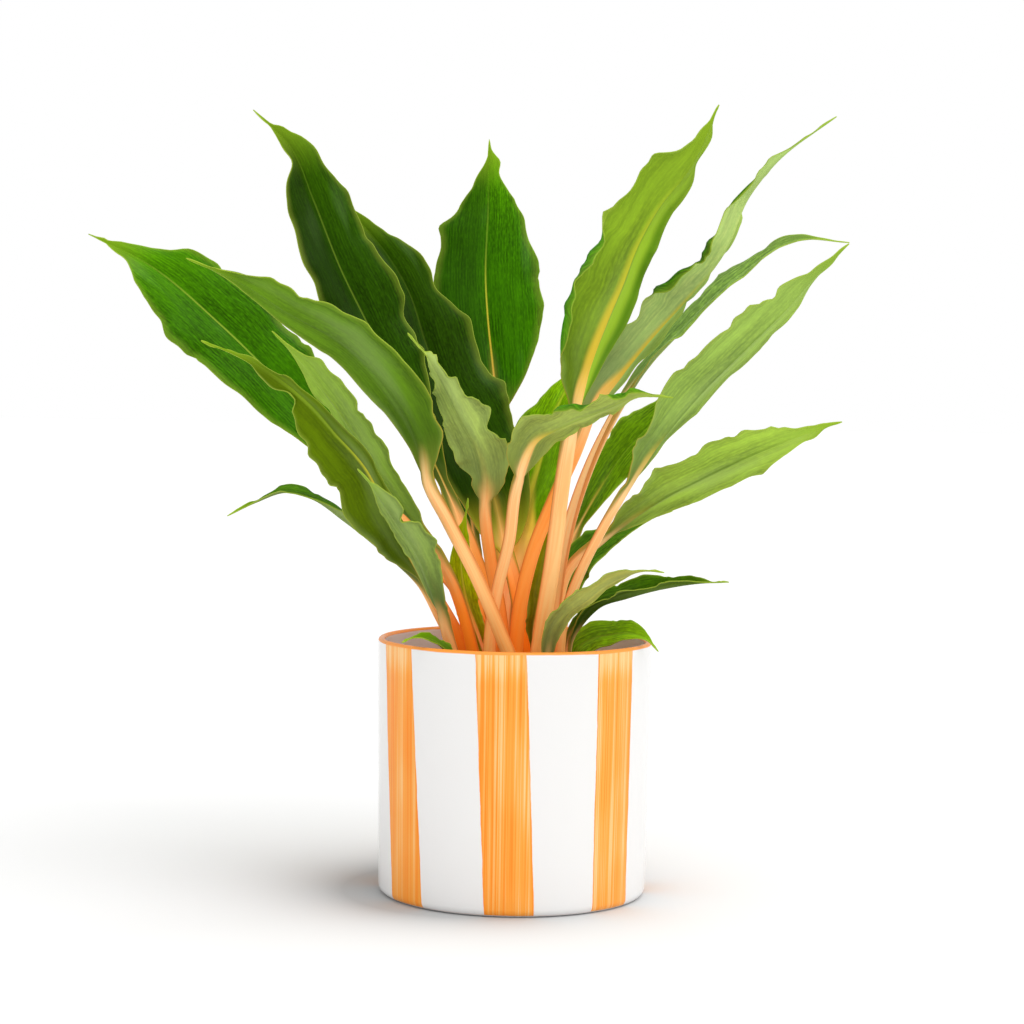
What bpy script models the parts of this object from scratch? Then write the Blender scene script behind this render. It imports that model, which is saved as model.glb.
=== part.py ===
"""A broad-leaved, orange-stalked spider plant in a straight, striped ceramic pot.

The pot is turned, the potting soil fills it to a little under the rim, and every leaf is one grown
piece, stalk and blade together, that stands in a plain hole in the soil.
Metres, +Z up. The origin is the middle of the pot's flat foot. -Y is the side the photograph shows.
"""
import math

import bpy
import numpy as np

MM = 0.001
CLEARANCE = 0.3                 # gap between touching pieces, mm

# Pot, mm
POT_HEIGHT = 130.0
RIM_RADIUS = 70.0
FOOT_RADIUS = 68.4              # the hand-made wall narrows a little towards the foot
WALL = 3.5
FLOOR_THICKNESS = 7.0
FOOT_EDGE = 4.0                 # radius of the rounded bottom edge
LIP_POINTS = 5
EDGE_POINTS = 4
TURN_STEPS = 56

# Soil, mm
SOIL_TOP = 107.0
SOIL_LUMP = 1.6                 # height of the soil's lumps
SOIL_RINGS = 6
SOIL_STEPS = 40
SOIL_CHAMFER = 2.0
SOIL_WAVES = (                  # radians a mm outwards, waves round the pot, shift and weight
    (0.31, 3, 0.0, 1.0), (0.17, -5, 1.3, 1.0), (0.45, 7, 4.0, 0.7))
HOLE_TOP = 112.0                # the holes for the stalks end above the highest lump

# Leaves, mm
STALK_FOOT = 95.0               # height of the buried end of every stalk
STALK_DEPTH = 0.85              # a stalk's thickness, as a share of its half width
STALK_CRESCENT = 0.55           # how much thinner a stalk is at its edges
STALK_NARROWING = 0.12          # how much narrower a stalk gets from its foot to its blade
STALK_FADE = 0.2                # share of the blade over which the stalk thins into a sheet
BLADE_THICKNESS = 0.9
MIDRIB_THICKNESS = 1.5
MIDRIB_REACH = 0.5              # how far out across the blade its thicker middle reaches
BURIED_STATIONS = 3
STALK_STATIONS = 5
BLADE_STATIONS = 23
TIP_HALF_WIDTH = 0.5
WHISKER = 0.05                  # share of the blade's length that its thin drawn-out tip takes
RUFFLE = 0.6                    # how much of a wave's height also goes into the leaf's outline
SWELL = 0.7                     # below 1, the waves reach their height sooner from the blade's ends
EDGE_LEAD = 2.1                 # how far the right edge's waves run ahead of the left's, radians
BURIED = 0.9                    # how far the stalks draw together under the soil

ACROSS = (-1.0, 0.0, 1.0)       # left edge, midrib, right edge
SMOOTH_BELOW = 50.0             # edges of a leaf flatter than this are shaded smooth, degrees
SLOPE_STEP = 1e-3               # step along a spine between the two points that give its direction
LEAST_STALK = 0.03              # a blade begins at least this share of the spine above its hole

# Colours and how rough each surface is
GLAZE = ((0.86, 0.86, 0.85), 0.2)
EARTH = ((0.05, 0.035, 0.025), 0.95)
LEAF = ((0.09, 0.2, 0.03), 0.4)

# One row for each leaf. "spine" is the line of its midrib from the rim of the pot to its tip, in mm.
# "face" is the way its upper side looks at the foot, the middle and the tip: x right, y away, z up.
# "half" is the blade's half width and "stalk" the stalk's, in mm. "start" is where the blade begins
# and "widest" where it is widest, as shares of the spine and of the blade. "fold" is how far each half
# is folded up along the midrib, in degrees. "wave" is the height of the edge's waves in mm, their
# number and where they begin. "taper" is how drawn out the blade is at its foot and at its tip: 1 is
# a plain point, less is rounder.
LEAVES = {
    "leaf_far_left": dict(
        spine=[(-13, 8, 118), (-20, 10, 138), (-44, 15, 170), (-81, 23, 212), (-119.4, 30, 252.8),
               (-156.3, 36, 288), (-196.3, 40, 320), (-227, 42, 335)],
        face=[(0.5, -1, 0.2), (0.35, -1, 0.5), (0.2, -1, 0.6)],
        half=26.5, stalk=4.0, start=0.38, widest=0.56, fold=8, wave=(2.0, 5, 0.0), taper=(0.9, 0.72)),
    "leaf_left_high": dict(
        spine=[(-1, -32, 118), (-8, -34, 137), (-18, -42, 161), (-34, -56, 193), (-43, -64, 211),
               (-46.8, -70, 231.5), (-57, -75, 250.4), (-80.5, -80, 276), (-113.2, -83, 294.3),
               (-131.2, -83, 305.3), (-159, -80, 317)],
        face=[(0.2, 1, 0), (0.3, 1, 0.5), (0.4, 1, 0.7)],
        half=15, stalk=3.7, start=0.44, widest=0.42, fold=12, wave=(1.2, 4, 1.0), taper=(1.0, 0.9)),
    "leaf_left_middle": dict(
        spine=[(-20, -19, 118), (-23, -20, 132), (-32, -24, 160), (-44, -26, 182), (-60, -28, 203),
               (-75, -31, 225), (-92, -35, 250), (-107, -38, 269), (-122, -38, 284)],
        face=[(0.2, 1, 0), (0.5, 1, 0.5), (0.6, 1, 0.7)],
        half=11, stalk=3.4, start=0.36, widest=0.55, fold=10, wave=(1.2, 4, 2.0), taper=(1.5, 0.75)),
    "leaf_left_broad": dict(
        spine=[(-22, -12, 118), (-30, -16, 134), (-45, -32, 161), (-62, -54, 192), (-75.5, -71, 219.7),
               (-87.5, -81, 233.7), (-98.5, -89, 246.7), (-113.5, -99, 259.7), (-131.5, -107, 270.7),
               (-148, -111, 277)],
        face=[(0.3, 1, 0), (-0.4, 0.8, -0.4), (-0.3, 0.9, -0.2)],
        half=18, stalk=3.8, start=0.27, widest=0.38, fold=38, wave=(1.5, 6, 0.0), taper=(1.9, 1.6)),
    "leaf_left_front": dict(
        spine=[(-30, -20, 118), (-33, -24, 130), (-37, -32, 146), (-42, -43, 160), (-46.9, -57, 174.3),
               (-55, -73, 188.9), (-63, -86, 201.9), (-70, -96, 212.9), (-75.2, -102, 219.1)],
        face=[(0.3, 1, 0), (0.3, 0.9, 0.1), (0.3, 0.9, 0.3)],
        half=8.5, stalk=3.4, start=0.28, widest=0.50, fold=24, wave=(1.0, 4, 0.0), taper=(0.8, 0.9)),
    "leaf_left_low": dict(
        spine=[(-29, -5, 118), (-32, -6, 127), (-39, -10, 142), (-47, -14, 157), (-65, -21, 174),
               (-86, -28, 191), (-102, -34, 202), (-115, -38, 205), (-129, -41, 200),
               (-143, -44, 193)],
        face=[(0.5, 0.5, 0.5), (0.2, -0.1, 1), (-0.3, -0.3, 1)],
        half=10, stalk=3.0, start=0.33, widest=0.50, fold=14, wave=(1.0, 4, 0.0), taper=(1.0, 1.1)),
    "leaf_upper_left": dict(
        spine=[(-5, -1, 118), (-11, 3, 139), (-21, 10, 169), (-38, 22, 207), (-58.2, 38, 246),
               (-78.5, 52, 285.9), (-95.7, 62, 318.9), (-112.2, 72, 357.6), (-124.4, 76, 384.6),
               (-145, 78, 405)],
        face=[(0, -1, 0), (0.5, -1, 0.2), (0.4, -1, 0.5)],
        half=23, stalk=4.2, start=0.29, widest=0.55, fold=16, wave=(2.0, 5, 1.0), taper=(1.1, 0.65)),
    "leaf_upper_left_dark": dict(
        spine=[(8, 15, 118), (3, 19, 140), (-1.5, 25, 160), (-6, 32, 175), (-12.4, 42, 200.7),
               (-23.9, 52, 226.2), (-38.9, 64, 251.4), (-50.9, 78, 281.4), (-60.9, 90, 309.4),
               (-72.9, 98, 329), (-89, 106, 348), (-104, 112, 364)],
        face=[(0, -1, 0), (0.3, -1, 0.3), (0.2, -1, 0.6)],
        half=27, stalk=4.2, start=0.26, widest=0.42, fold=14, wave=(1.1, 5, 1.0), taper=(0.6, 0.85)),
    "leaf_centre_rear": dict(
        spine=[(-2, 30, 118), (-4, 36, 136), (-5.5, 56, 177), (-9.3, 78, 225), (-14, 94, 266),
               (-17.7, 104, 296), (-19.4, 112, 319), (-18.7, 124, 355), (-18.8, 136, 397)],
        face=[(0, -1, 0), (0, -1, 0.3), (0, -1, 0.6)],
        half=31, stalk=4.2, start=0.48, widest=0.42, fold=10, wave=(0.8, 5, 0.0), taper=(1.4, 0.9)),
    "leaf_front_centre": dict(
        spine=[(-5, -12, 118), (-8, -14, 145), (-13, -19, 171), (-16, -28, 194), (-16.2, -38, 213.9),
               (-20.9, -50, 230.7), (-27.5, -60, 242.9), (-34.5, -72, 256.9), (-42.5, -84, 270.9),
               (-53, -94, 283)],
        face=[(0, 1, 0), (0.1, 1, 0.3), (0.1, 1, 0.6)],
        half=14, stalk=3.4, start=0.49, widest=0.3, fold=14, wave=(2.0, 5, 0.0), taper=(1.5, 1.4)),
    "leaf_front_right": dict(
        spine=[(-13, -26, 118), (-12, -27, 140), (-9, -30, 159), (-4, -38, 182), (-1, -48, 208),
               (2, -55, 220), (7, -64, 231), (20, -82, 240), (38, -100, 248), (55, -116, 255),
               (70, -128, 255)],
        face=[(0, 1, 0), (-0.3, 1, 0.6), (-0.4, 0.8, 1)],
        half=13, stalk=3.3, start=0.505, widest=0.3, fold=14, wave=(1.5, 5, 2.0), taper=(1.9, 0.9)),
    "leaf_upper_right": dict(
        spine=[(11, -28, 118), (14, -31, 142), (18, -37, 173), (22, -46, 213), (27, -54, 247),
               (36, -60, 277), (42, -64, 293), (48.2, -68, 308.4), (54.4, -72, 325.8), (64, -76, 344),
               (78.8, -82, 363.6), (91, -90, 392)],
        face=[(0, 1, 0), (-0.6, 0.9, 0.2), (-0.6, 0.9, 0.4)],
        half=23, stalk=4.4, start=0.44, widest=0.42, fold=28, wave=(1.5, 5, 0.0), taper=(2.4, 0.6)),
    "leaf_right_tall": dict(
        spine=[(0, -21, 118), (2, -22, 147), (8, -24, 175), (18, -24, 202), (28, -24, 225),
               (38, -25, 250), (51.2, -28, 266.8), (65.2, -33, 284.8), (82, -39, 304), (98, -47, 325),
               (109, -55, 352), (122, -61, 369), (149, -69, 390)],
        face=[(0, 1, 0), (-0.7, 0.8, 0.3), (-0.7, 0.3, 0.5)],
        half=16, stalk=3.8, start=0.42, widest=0.3, fold=28, wave=(1.5, 6, 0.0), taper=(1.7, 1.2)),
    "leaf_right_narrow": dict(
        spine=[(18, -3, 118), (20, -1, 150), (28, 0, 194), (43, -1, 235), (58.4, -3, 262.6),
               (82.2, -8, 289.8), (110.2, -14, 316.8), (137, -20, 334), (163, -24, 333)],
        face=[(0, -1, 0), (-0.6, -0.3, 1), (-0.2, -0.6, 1)],
        half=10, stalk=3.6, start=0.52, widest=0.45, fold=16, wave=(1.0, 4, 0.0), taper=(1.0, 1.1)),
    "leaf_right_broad": dict(
        spine=[(22, -16, 118), (24, -19, 141), (30, -25, 161), (42, -34, 188), (56, -45, 214),
               (69, -54, 234), (89, -65, 259), (105, -73, 276), (125, -82, 297), (141, -89, 316),
               (153, -94, 328)],
        face=[(0, 1, 0), (-0.6, 0.8, 0.35), (-0.6, 0.8, 0.4)],
        half=17, stalk=2.8, start=0.4, widest=0.52, fold=24, wave=(1.5, 5, 0.0), taper=(1.2, 0.85)),
    "leaf_right_bright": dict(
        spine=[(19, 6, 118), (21, 10, 144), (26, 9, 164), (45, 2, 183), (58, -6, 193),
               (72, -14, 203), (91, -25, 214), (120, -36, 229), (141, -43, 238), (158, -48, 244)],
        face=[(0, -0.3, 1), (-0.4, 1, 0.3), (-0.4, 1, 0.6)],
        half=15, stalk=3.6, start=0.38, widest=0.50, fold=10, wave=(1.5, 5, 0.0), taper=(1.25, 0.7)),
    "leaf_right_under": dict(
        spine=[(22, 16, 118), (21, 18, 138), (24, 18, 151), (31, 21, 165), (43, 20, 177),
               (55, 18, 185), (69, 16, 192), (80, 15, 196)],
        face=[(0, -1, 0.5), (-0.3, -1, 1), (-0.2, -1, 1)],
        half=11, stalk=3.2, start=0.25, widest=0.45, fold=14, wave=(1.0, 4, 0.0), taper=(1.0, 1.1)),
    "leaf_inner_right": dict(
        spine=[(-6, 22, 118), (-5, 28, 144), (-2, 35, 162), (2, 44, 183), (8, 54, 204),
               (13, 62, 222), (18, 70, 241), (27, 78, 260), (39, 84, 279)],
        face=[(0, -1, 0), (-0.8, -0.8, 0.3), (-0.5, -0.9, 0.4)],
        half=23, stalk=4.0, start=0.26, widest=0.50, fold=14, wave=(1.5, 5, 0.0), taper=(1.0, 1.1)),
    "leaf_right_dark": dict(
        spine=[(17, 26, 118), (19, 28, 141), (23, 32, 165), (32, 36, 185), (43, 41, 205),
               (55, 46, 223), (70, 52, 239), (88, 58, 253), (108, 64, 263)],
        face=[(0, -1, 0), (-0.3, -1, 0.5), (-0.2, -1, 0.9)],
        half=13, stalk=3.8, start=0.4, widest=0.55, fold=14, wave=(1.0, 4, 0.0), taper=(1.0, 1.1)),
    "leaf_small_pale": dict(
        spine=[(15, -38, 118), (17, -42, 133), (22, -48, 145), (34, -58, 156), (43, -66, 164),
               (52, -74, 169), (61, -82, 172), (70, -90, 172)],
        face=[(0, 1, 0), (-0.3, 1, 0.8), (-0.2, 0.9, 1)],
        half=6.2, stalk=2.6, start=0.18, widest=0.45, fold=12, wave=(0.8, 4, 0.0), taper=(0.8, 0.9)),
    "leaf_small_folded": dict(
        spine=[(26, -9, 118), (28, -11, 131), (34, -14, 141), (42, -18, 149), (55, -23, 154),
               (75, -30, 160), (91, -36, 163), (105, -40, 164)],
        face=[(0, -0.2, 1), (-0.2, -0.4, 0.9), (0, -0.3, 1)],
        half=8.5, stalk=2.4, start=0.24, widest=0.45, fold=40, wave=(0.8, 4, 0.0), taper=(0.8, 0.9)),
    "leaf_over_right_rim": dict(
        spine=[(29, -1, 118), (32, -3, 126), (39, -6, 131), (48, -14, 134), (58, -24, 136),
               (66, -33, 134), (71, -40, 129)],
        face=[(0, -0.3, 1), (0, -1, 0.7), (0.5, -1, 0.5)],
        half=9, stalk=2.4, start=0.08, widest=0.45, fold=6, wave=(0.5, 3, 0.0), taper=(0.8, 0.9)),
    "leaf_over_left_rim": dict(
        spine=[(-26, -34, 118), (-32, -40, 126), (-41, -50, 134), (-49, -58, 136), (-55, -64, 134)],
        face=[(0, -0.3, 1), (0, -0.6, 0.8), (-0.3, -0.9, 0.5)],
        half=4, stalk=2.0, start=0.10, widest=0.50, fold=12, wave=(0.5, 4, 0.0), taper=(0.8, 0.9)),
    "leaf_rear_centre": dict(
        spine=[(0, 38, 118), (0, 46, 140), (-2, 64, 165), (-6, 84, 190), (-12, 105, 214),
               (-18, 126, 236), (-24, 146, 252), (-29, 162, 260)],
        face=[(0, -1, 0), (0, -1, 1), (0, -0.6, 1)],
        half=19, stalk=4.0, start=0.32, widest=0.50, fold=12, wave=(1.5, 5, 0.5), taper=(1.0, 1.1)),
    "leaf_rear_left": dict(
        spine=[(-18, 25, 118), (-19, 35, 142), (-22, 51, 172), (-28, 72, 206), (-37, 96, 236),
               (-48, 118, 257), (-60, 138, 270), (-70, 152, 276)],
        face=[(0.2, -1, 0), (0.1, -0.6, 1), (0, -0.4, 1)],
        half=16, stalk=4.0, start=0.34, widest=0.50, fold=12, wave=(1.5, 5, 1.5), taper=(1.0, 1.1)),
    "leaf_rear_right": dict(
        spine=[(12, 34, 118), (16, 43, 141), (25, 58, 172), (37, 75, 198), (51, 91, 218),
               (73, 108, 242), (97, 121, 262), (118, 131, 276)],
        face=[(0, -1, 0), (-0.7, -0.1, 0.7), (-0.5, 0, 0.8)],
        half=16, stalk=3.8, start=0.32, widest=0.50, fold=12, wave=(1.2, 5, 2.5), taper=(1.0, 1.1)),
    "leaf_young_left": dict(
        spine=[(-14, -5, 118), (-18, -8, 130), (-25, -11, 150), (-28, -14, 168), (-27, -18, 186),
               (-25, -20, 202)],
        face=[(0, -1, 0), (-0.3, -1, 0.3), (0, -1, 0.5)],
        half=7, stalk=2.4, start=0.20, widest=0.50, fold=16, wave=(0.8, 4, 0.0), taper=(1.0, 1.1)),
    "leaf_young_right": dict(
        spine=[(10, 2, 118), (10, -2, 129), (12, -9, 150), (14, -14, 165), (17, -17, 184),
               (23, -20, 200)],
        face=[(0, 1, 0), (-0.2, 1, 0.3), (-0.2, 1, 0.5)],
        half=7, stalk=2.4, start=0.20, widest=0.50, fold=16, wave=(0.8, 4, 0.0), taper=(1.0, 1.1)),
}


def material(name, colour, roughness, metallic=0.0):
    """A plain Principled material."""
    made = bpy.data.materials.new(name)
    made.use_nodes = True
    shader = made.node_tree.nodes["Principled BSDF"]
    shader.inputs["Base Color"].default_value = (*colour, 1.0)
    shader.inputs["Roughness"].default_value = roughness
    shader.inputs["Metallic"].default_value = metallic
    return made


def unit(vectors):
    """The vectors at length one."""
    return vectors / np.linalg.norm(vectors, axis=-1, keepdims=True)


def smooth_curve(points, u):
    """Places on the smooth curve through the points, for u from 0 to 1 along its chords.

    Between two points the curve is a cubic whose slope at each is the mean slope round it.
    """
    points = np.asarray(points, float)
    chords = np.linalg.norm(np.diff(points, axis=0), axis=1)
    knots = np.concatenate([[0.0], np.cumsum(chords)]) / chords.sum()
    slopes = np.gradient(points, knots, axis=0)
    k = np.clip(np.searchsorted(knots, u, side="right") - 1, 0, len(points) - 2)
    span = (knots[k + 1] - knots[k])[:, None]
    t = (u - knots[k])[:, None] / span
    return ((2 * t**3 - 3 * t**2 + 1) * points[k] + (t**3 - 2 * t**2 + t) * span * slopes[k]
            + (3 * t**2 - 2 * t**3) * points[k + 1] + (t**3 - t**2) * span * slopes[k + 1])


def whole_spine(leaf):
    """The leaf's spine with its buried end, a little nearer the middle of the pot, put before it."""
    x, y, _ = leaf["spine"][0]
    return [(BURIED * x, BURIED * y, STALK_FOOT)] + leaf["spine"]


def leaf_axes(leaf, u):
    """The spine's points at u, and there its direction, the upper side's and the one across."""
    spine = whole_spine(leaf)
    centre = smooth_curve(spine, u)
    ahead = smooth_curve(spine, np.minimum(u + SLOPE_STEP, 1))
    along = unit(ahead - smooth_curve(spine, np.maximum(u - SLOPE_STEP, 0)))
    faces = np.asarray(leaf["face"], float)
    places = np.linspace(0, 1, len(faces))
    face = np.stack([np.interp(u, places, faces[:, axis]) for axis in range(3)], axis=-1)
    up = unit(face - (face * along).sum(-1, keepdims=True) * along)
    return centre, along, up, np.cross(along, up)


def leaf_widths(leaf, u):
    """Half widths at u, and how far along its blade each place is, 0 on the stalk and 1 at the tip.

    The blade's width is a sine of a power of its length, so that its widest place can be moved. The
    sine ends where the whisker begins.
    """
    blade = np.clip((u - leaf["start"]) / (1 - leaf["start"]), 0, 1)
    power = math.log(0.5) / math.log(leaf["widest"])
    taper = np.where(blade < leaf["widest"], *leaf["taper"])
    broad = np.clip(blade / (1 - WHISKER), 0, 1)
    width = leaf["half"] * np.clip(np.sin(np.pi * broad**power), 0, 1) ** taper
    narrowing = 1 - STALK_NARROWING * np.clip(u / leaf["start"], 0, 1)
    stalk = leaf["stalk"] * narrowing * np.sqrt(1 - blade)
    return np.maximum(np.maximum(width, stalk), TIP_HALF_WIDTH), blade


def leaf_grid(leaf, u, across, grow=0.0):
    """Points of the leaf's upper and lower faces, two arrays of stations by places across.

    Each half is a flat strip folded up from the midrib, its edge lifted by a travelling wave, and
    its width goes up and down with the same wave. The lower face is the upper one moved down by the
    leaf's thickness: a crescent on the stalk, a thin sheet with a thicker midrib on the blade.
    "grow" moves both faces and both edges outwards.
    """
    centre, _, up, side = leaf_axes(leaf, u)
    half, blade = leaf_widths(leaf, u)
    fold = math.radians(leaf["fold"])
    v = np.asarray(across)[None, :]
    reach = np.abs(v)
    height, count, phase = leaf["wave"]
    turn = 2 * np.pi * count * blade[:, None] + phase + np.where(v > 0, EDGE_LEAD, 0.0)
    swell = height * np.clip(np.sin(np.pi * blade), 0, 1)[:, None] ** SWELL
    width = half[:, None] + grow + RUFFLE * swell * np.sin(turn + 1)
    lift = reach * width * math.sin(fold) + reach**2 * swell * np.sin(turn) + grow
    sheet = np.minimum(blade / STALK_FADE, 1)[:, None]
    stalk_shape = STALK_DEPTH * leaf["stalk"] * (1 - STALK_CRESCENT * reach**2)
    middle = 1 - np.minimum(reach / MIDRIB_REACH, 1)
    blade_shape = BLADE_THICKNESS + (MIDRIB_THICKNESS - BLADE_THICKNESS) * middle
    thickness = stalk_shape * (1 - sheet) + blade_shape * sheet + 2 * grow
    upper = centre[:, None] + side[:, None] * (v * width * math.cos(fold))[..., None]
    upper = upper + up[:, None] * lift[..., None]
    return upper, upper - up[:, None] * thickness[..., None]


def sheet_faces(rows, columns):
    """Triangles of a closed sheet: its upper and lower faces are split alike, then edges and ends."""
    upper = np.arange(rows * columns).reshape(rows, columns)
    lower = upper + rows * columns
    faces = []
    for i in range(rows - 1):
        for j in range(columns - 1):
            a, b, c, d = upper[i, j], upper[i, j + 1], upper[i + 1, j + 1], upper[i + 1, j]
            faces += [(a, b, c), (a, c, d)]
            a, b, c, d = lower[i, j], lower[i, j + 1], lower[i + 1, j + 1], lower[i + 1, j]
            faces += [(a, c, b), (a, d, c)]
        for j, flip in ((0, False), (columns - 1, True)):
            quad = [upper[i, j], upper[i + 1, j], lower[i + 1, j], lower[i, j]]
            quad = quad[::-1] if flip else quad
            faces += [(quad[0], quad[1], quad[2]), (quad[0], quad[2], quad[3])]
    for i, flip in ((0, True), (rows - 1, False)):
        for j in range(columns - 1):
            quad = [upper[i, j], upper[i, j + 1], lower[i, j + 1], lower[i, j]]
            quad = quad[::-1] if flip else quad
            faces += [(quad[0], quad[1], quad[2]), (quad[0], quad[2], quad[3])]
    return [tuple(int(corner) for corner in face) for face in faces]


def stations(leaf):
    """Places along a leaf where its mesh has points: the buried end, the stalk, the blade."""
    length = np.linalg.norm(np.diff(whole_spine(leaf), axis=0), axis=1).sum()
    buried = np.linspace(0, HOLE_TOP - STALK_FOOT, BURIED_STATIONS) / length
    stalk = np.linspace(buried[-1], max(leaf["start"], buried[-1] + LEAST_STALK), STALK_STATIONS)[1:-1]
    blade = np.linspace(stalk[-1], 1, BLADE_STATIONS + 1)[1:]
    return buried, np.concatenate([buried, stalk, blade])


def sheet_object(name, upper, lower, collection):
    """A closed mesh between an upper and a lower grid of points in mm."""
    points = np.concatenate([upper.reshape(-1, 3), lower.reshape(-1, 3)]) * MM
    mesh = bpy.data.meshes.new(name)
    mesh.from_pydata(points.tolist(), [], sheet_faces(*upper.shape[:2]))
    mesh.update()
    mesh.shade_smooth()
    mesh.set_sharp_from_angle(angle=math.radians(SMOOTH_BELOW))
    made = bpy.data.objects.new(name, mesh)
    collection.objects.link(made)
    return made


def arc(centre, radius, start, end, points):
    """Points of an arc in a profile, angles in degrees from +X towards +Z."""
    angles = np.radians(np.linspace(start, end, points))
    return [(centre[0] + radius * math.cos(a), centre[1] + radius * math.sin(a)) for a in angles]


def turned(name, profile, steps, look, collection):
    """A solid turned from a profile in mm that runs from the axis down the outside to the axis."""
    mesh = bpy.data.meshes.new(name)
    corners = [(radius * MM, 0.0, height * MM) for radius, height in profile]
    mesh.from_pydata(corners, [(i, i + 1) for i in range(len(corners) - 1)], [])
    made = bpy.data.objects.new(name, mesh)
    collection.objects.link(made)
    screw = made.modifiers.new("turn", "SCREW")
    screw.axis = "Z"
    screw.steps = screw.render_steps = steps
    screw.use_merge_vertices = True
    screw.merge_threshold = 1e-5
    screw.use_smooth_shade = True
    mesh.materials.append(look)
    return made


def build_pot(collection):
    """The pot: a straight wall with a round lip, a rounded foot edge and a flat floor inside."""
    inner_foot = FOOT_RADIUS - WALL
    lip = arc((RIM_RADIUS - WALL / 2, POT_HEIGHT - WALL / 2), WALL / 2, 180, 0, LIP_POINTS)
    foot = arc((FOOT_RADIUS - FOOT_EDGE, FOOT_EDGE), FOOT_EDGE, 0, -90, EDGE_POINTS)
    inside = [(0.0, FLOOR_THICKNESS), (inner_foot - FOOT_EDGE, FLOOR_THICKNESS),
              (inner_foot, FLOOR_THICKNESS + FOOT_EDGE)]
    profile = inside + lip + foot + [(0.0, 0.0)]
    return turned("pot", profile, TURN_STEPS, material("white_glaze", *GLAZE), collection)


def soil_height(radius, angle):
    """Height of the lumps on the soil: a few crossed waves."""
    lumps = sum(weight * math.sin(outwards * radius + around * angle + shift)
                for outwards, around, shift, weight in SOIL_WAVES)
    return SOIL_LUMP / 2 * lumps


def build_soil(collection, cutters):
    """The soil: a turned plug with a lumpy top, cut by a plain hole for each stalk."""
    wall_share = (SOIL_TOP - SOIL_CHAMFER) / POT_HEIGHT
    foot = FOOT_RADIUS - WALL - CLEARANCE
    top = foot + (RIM_RADIUS - FOOT_RADIUS) * wall_share
    bottom = FLOOR_THICKNESS + CLEARANCE
    rings = [(top * ring / SOIL_RINGS, SOIL_TOP) for ring in range(SOIL_RINGS)]
    profile = rings + [(top, SOIL_TOP - SOIL_CHAMFER), (foot, bottom + FOOT_EDGE),
                       (foot - FOOT_EDGE, bottom), (0.0, bottom)]
    plug = turned("soil_blank", profile, SOIL_STEPS, material("potting_soil", *EARTH), collection)
    mesh = bpy.data.meshes.new_from_object(plug.evaluated_get(bpy.context.evaluated_depsgraph_get()))
    bpy.data.objects.remove(plug)
    for vertex in mesh.vertices:
        x, y, z = (value / MM for value in vertex.co)
        if z > SOIL_TOP - 0.01:
            vertex.co.z += soil_height(math.hypot(x, y), math.atan2(y, x)) * MM
    soil = bpy.data.objects.new("soil", mesh)
    collection.objects.link(soil)
    cut = soil.modifiers.new("stalk_holes", "BOOLEAN")
    cut.operation = "DIFFERENCE"
    cut.operand_type = "COLLECTION"
    cut.collection = cutters
    cut.solver = "EXACT"
    return soil


def build_hole(name, leaf, u, cutters):
    """The cutter that leaves room for a stalk in the soil: the stalk's own shape, a little larger."""
    upper, lower = leaf_grid(leaf, u, ACROSS, CLEARANCE)
    for face in (upper, lower):
        face[0, :, 2] -= 2 * CLEARANCE
    hole = sheet_object(name + "_hole", upper, lower, cutters)
    hole.hide_render = True
    hole.display_type = "WIRE"


def build_leaves(collection, cutters):
    """Every leaf, one grown piece lofted along its spine, and the hole that it stands in."""
    leaf_green = material("leaf_green", *LEAF)
    for name, leaf in LEAVES.items():
        buried, whole = stations(leaf)
        grown = sheet_object(name, *leaf_grid(leaf, whole, ACROSS), collection)
        grown.data.materials.append(leaf_green)
        build_hole(name, leaf, buried, cutters)


def main():
    """Builds the pot, the leaves and the soil in a collection of their own."""
    for old in list(bpy.data.objects):
        bpy.data.objects.remove(old)
    scene_root = bpy.context.scene.collection
    plant = bpy.data.collections.new("potted_spider_plant")
    cutters = bpy.data.collections.new("cutters")
    scene_root.children.link(plant)
    scene_root.children.link(cutters)
    build_pot(plant)
    build_leaves(plant, cutters)
    build_soil(plant, cutters)


main()
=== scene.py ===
# %% [markdown]
# # A broad-leaved spider plant in a striped pot
# This file dresses a potted spider plant whose solids already exist. The plant is the green-and-orange
# kind: broad dark blades on peach and orange stalks, in a straight white pot with brushed stripes. The
# solids come in as a frame that never moves. Each finished piece is worked out here with numpy, in
# metres, and takes the place of the plain solid that it stands for.

# %% Load the frame
import itertools
import math
from collections import namedtuple

import bmesh
import bpy
import numpy as np
from mathutils import Matrix, Vector


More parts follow.
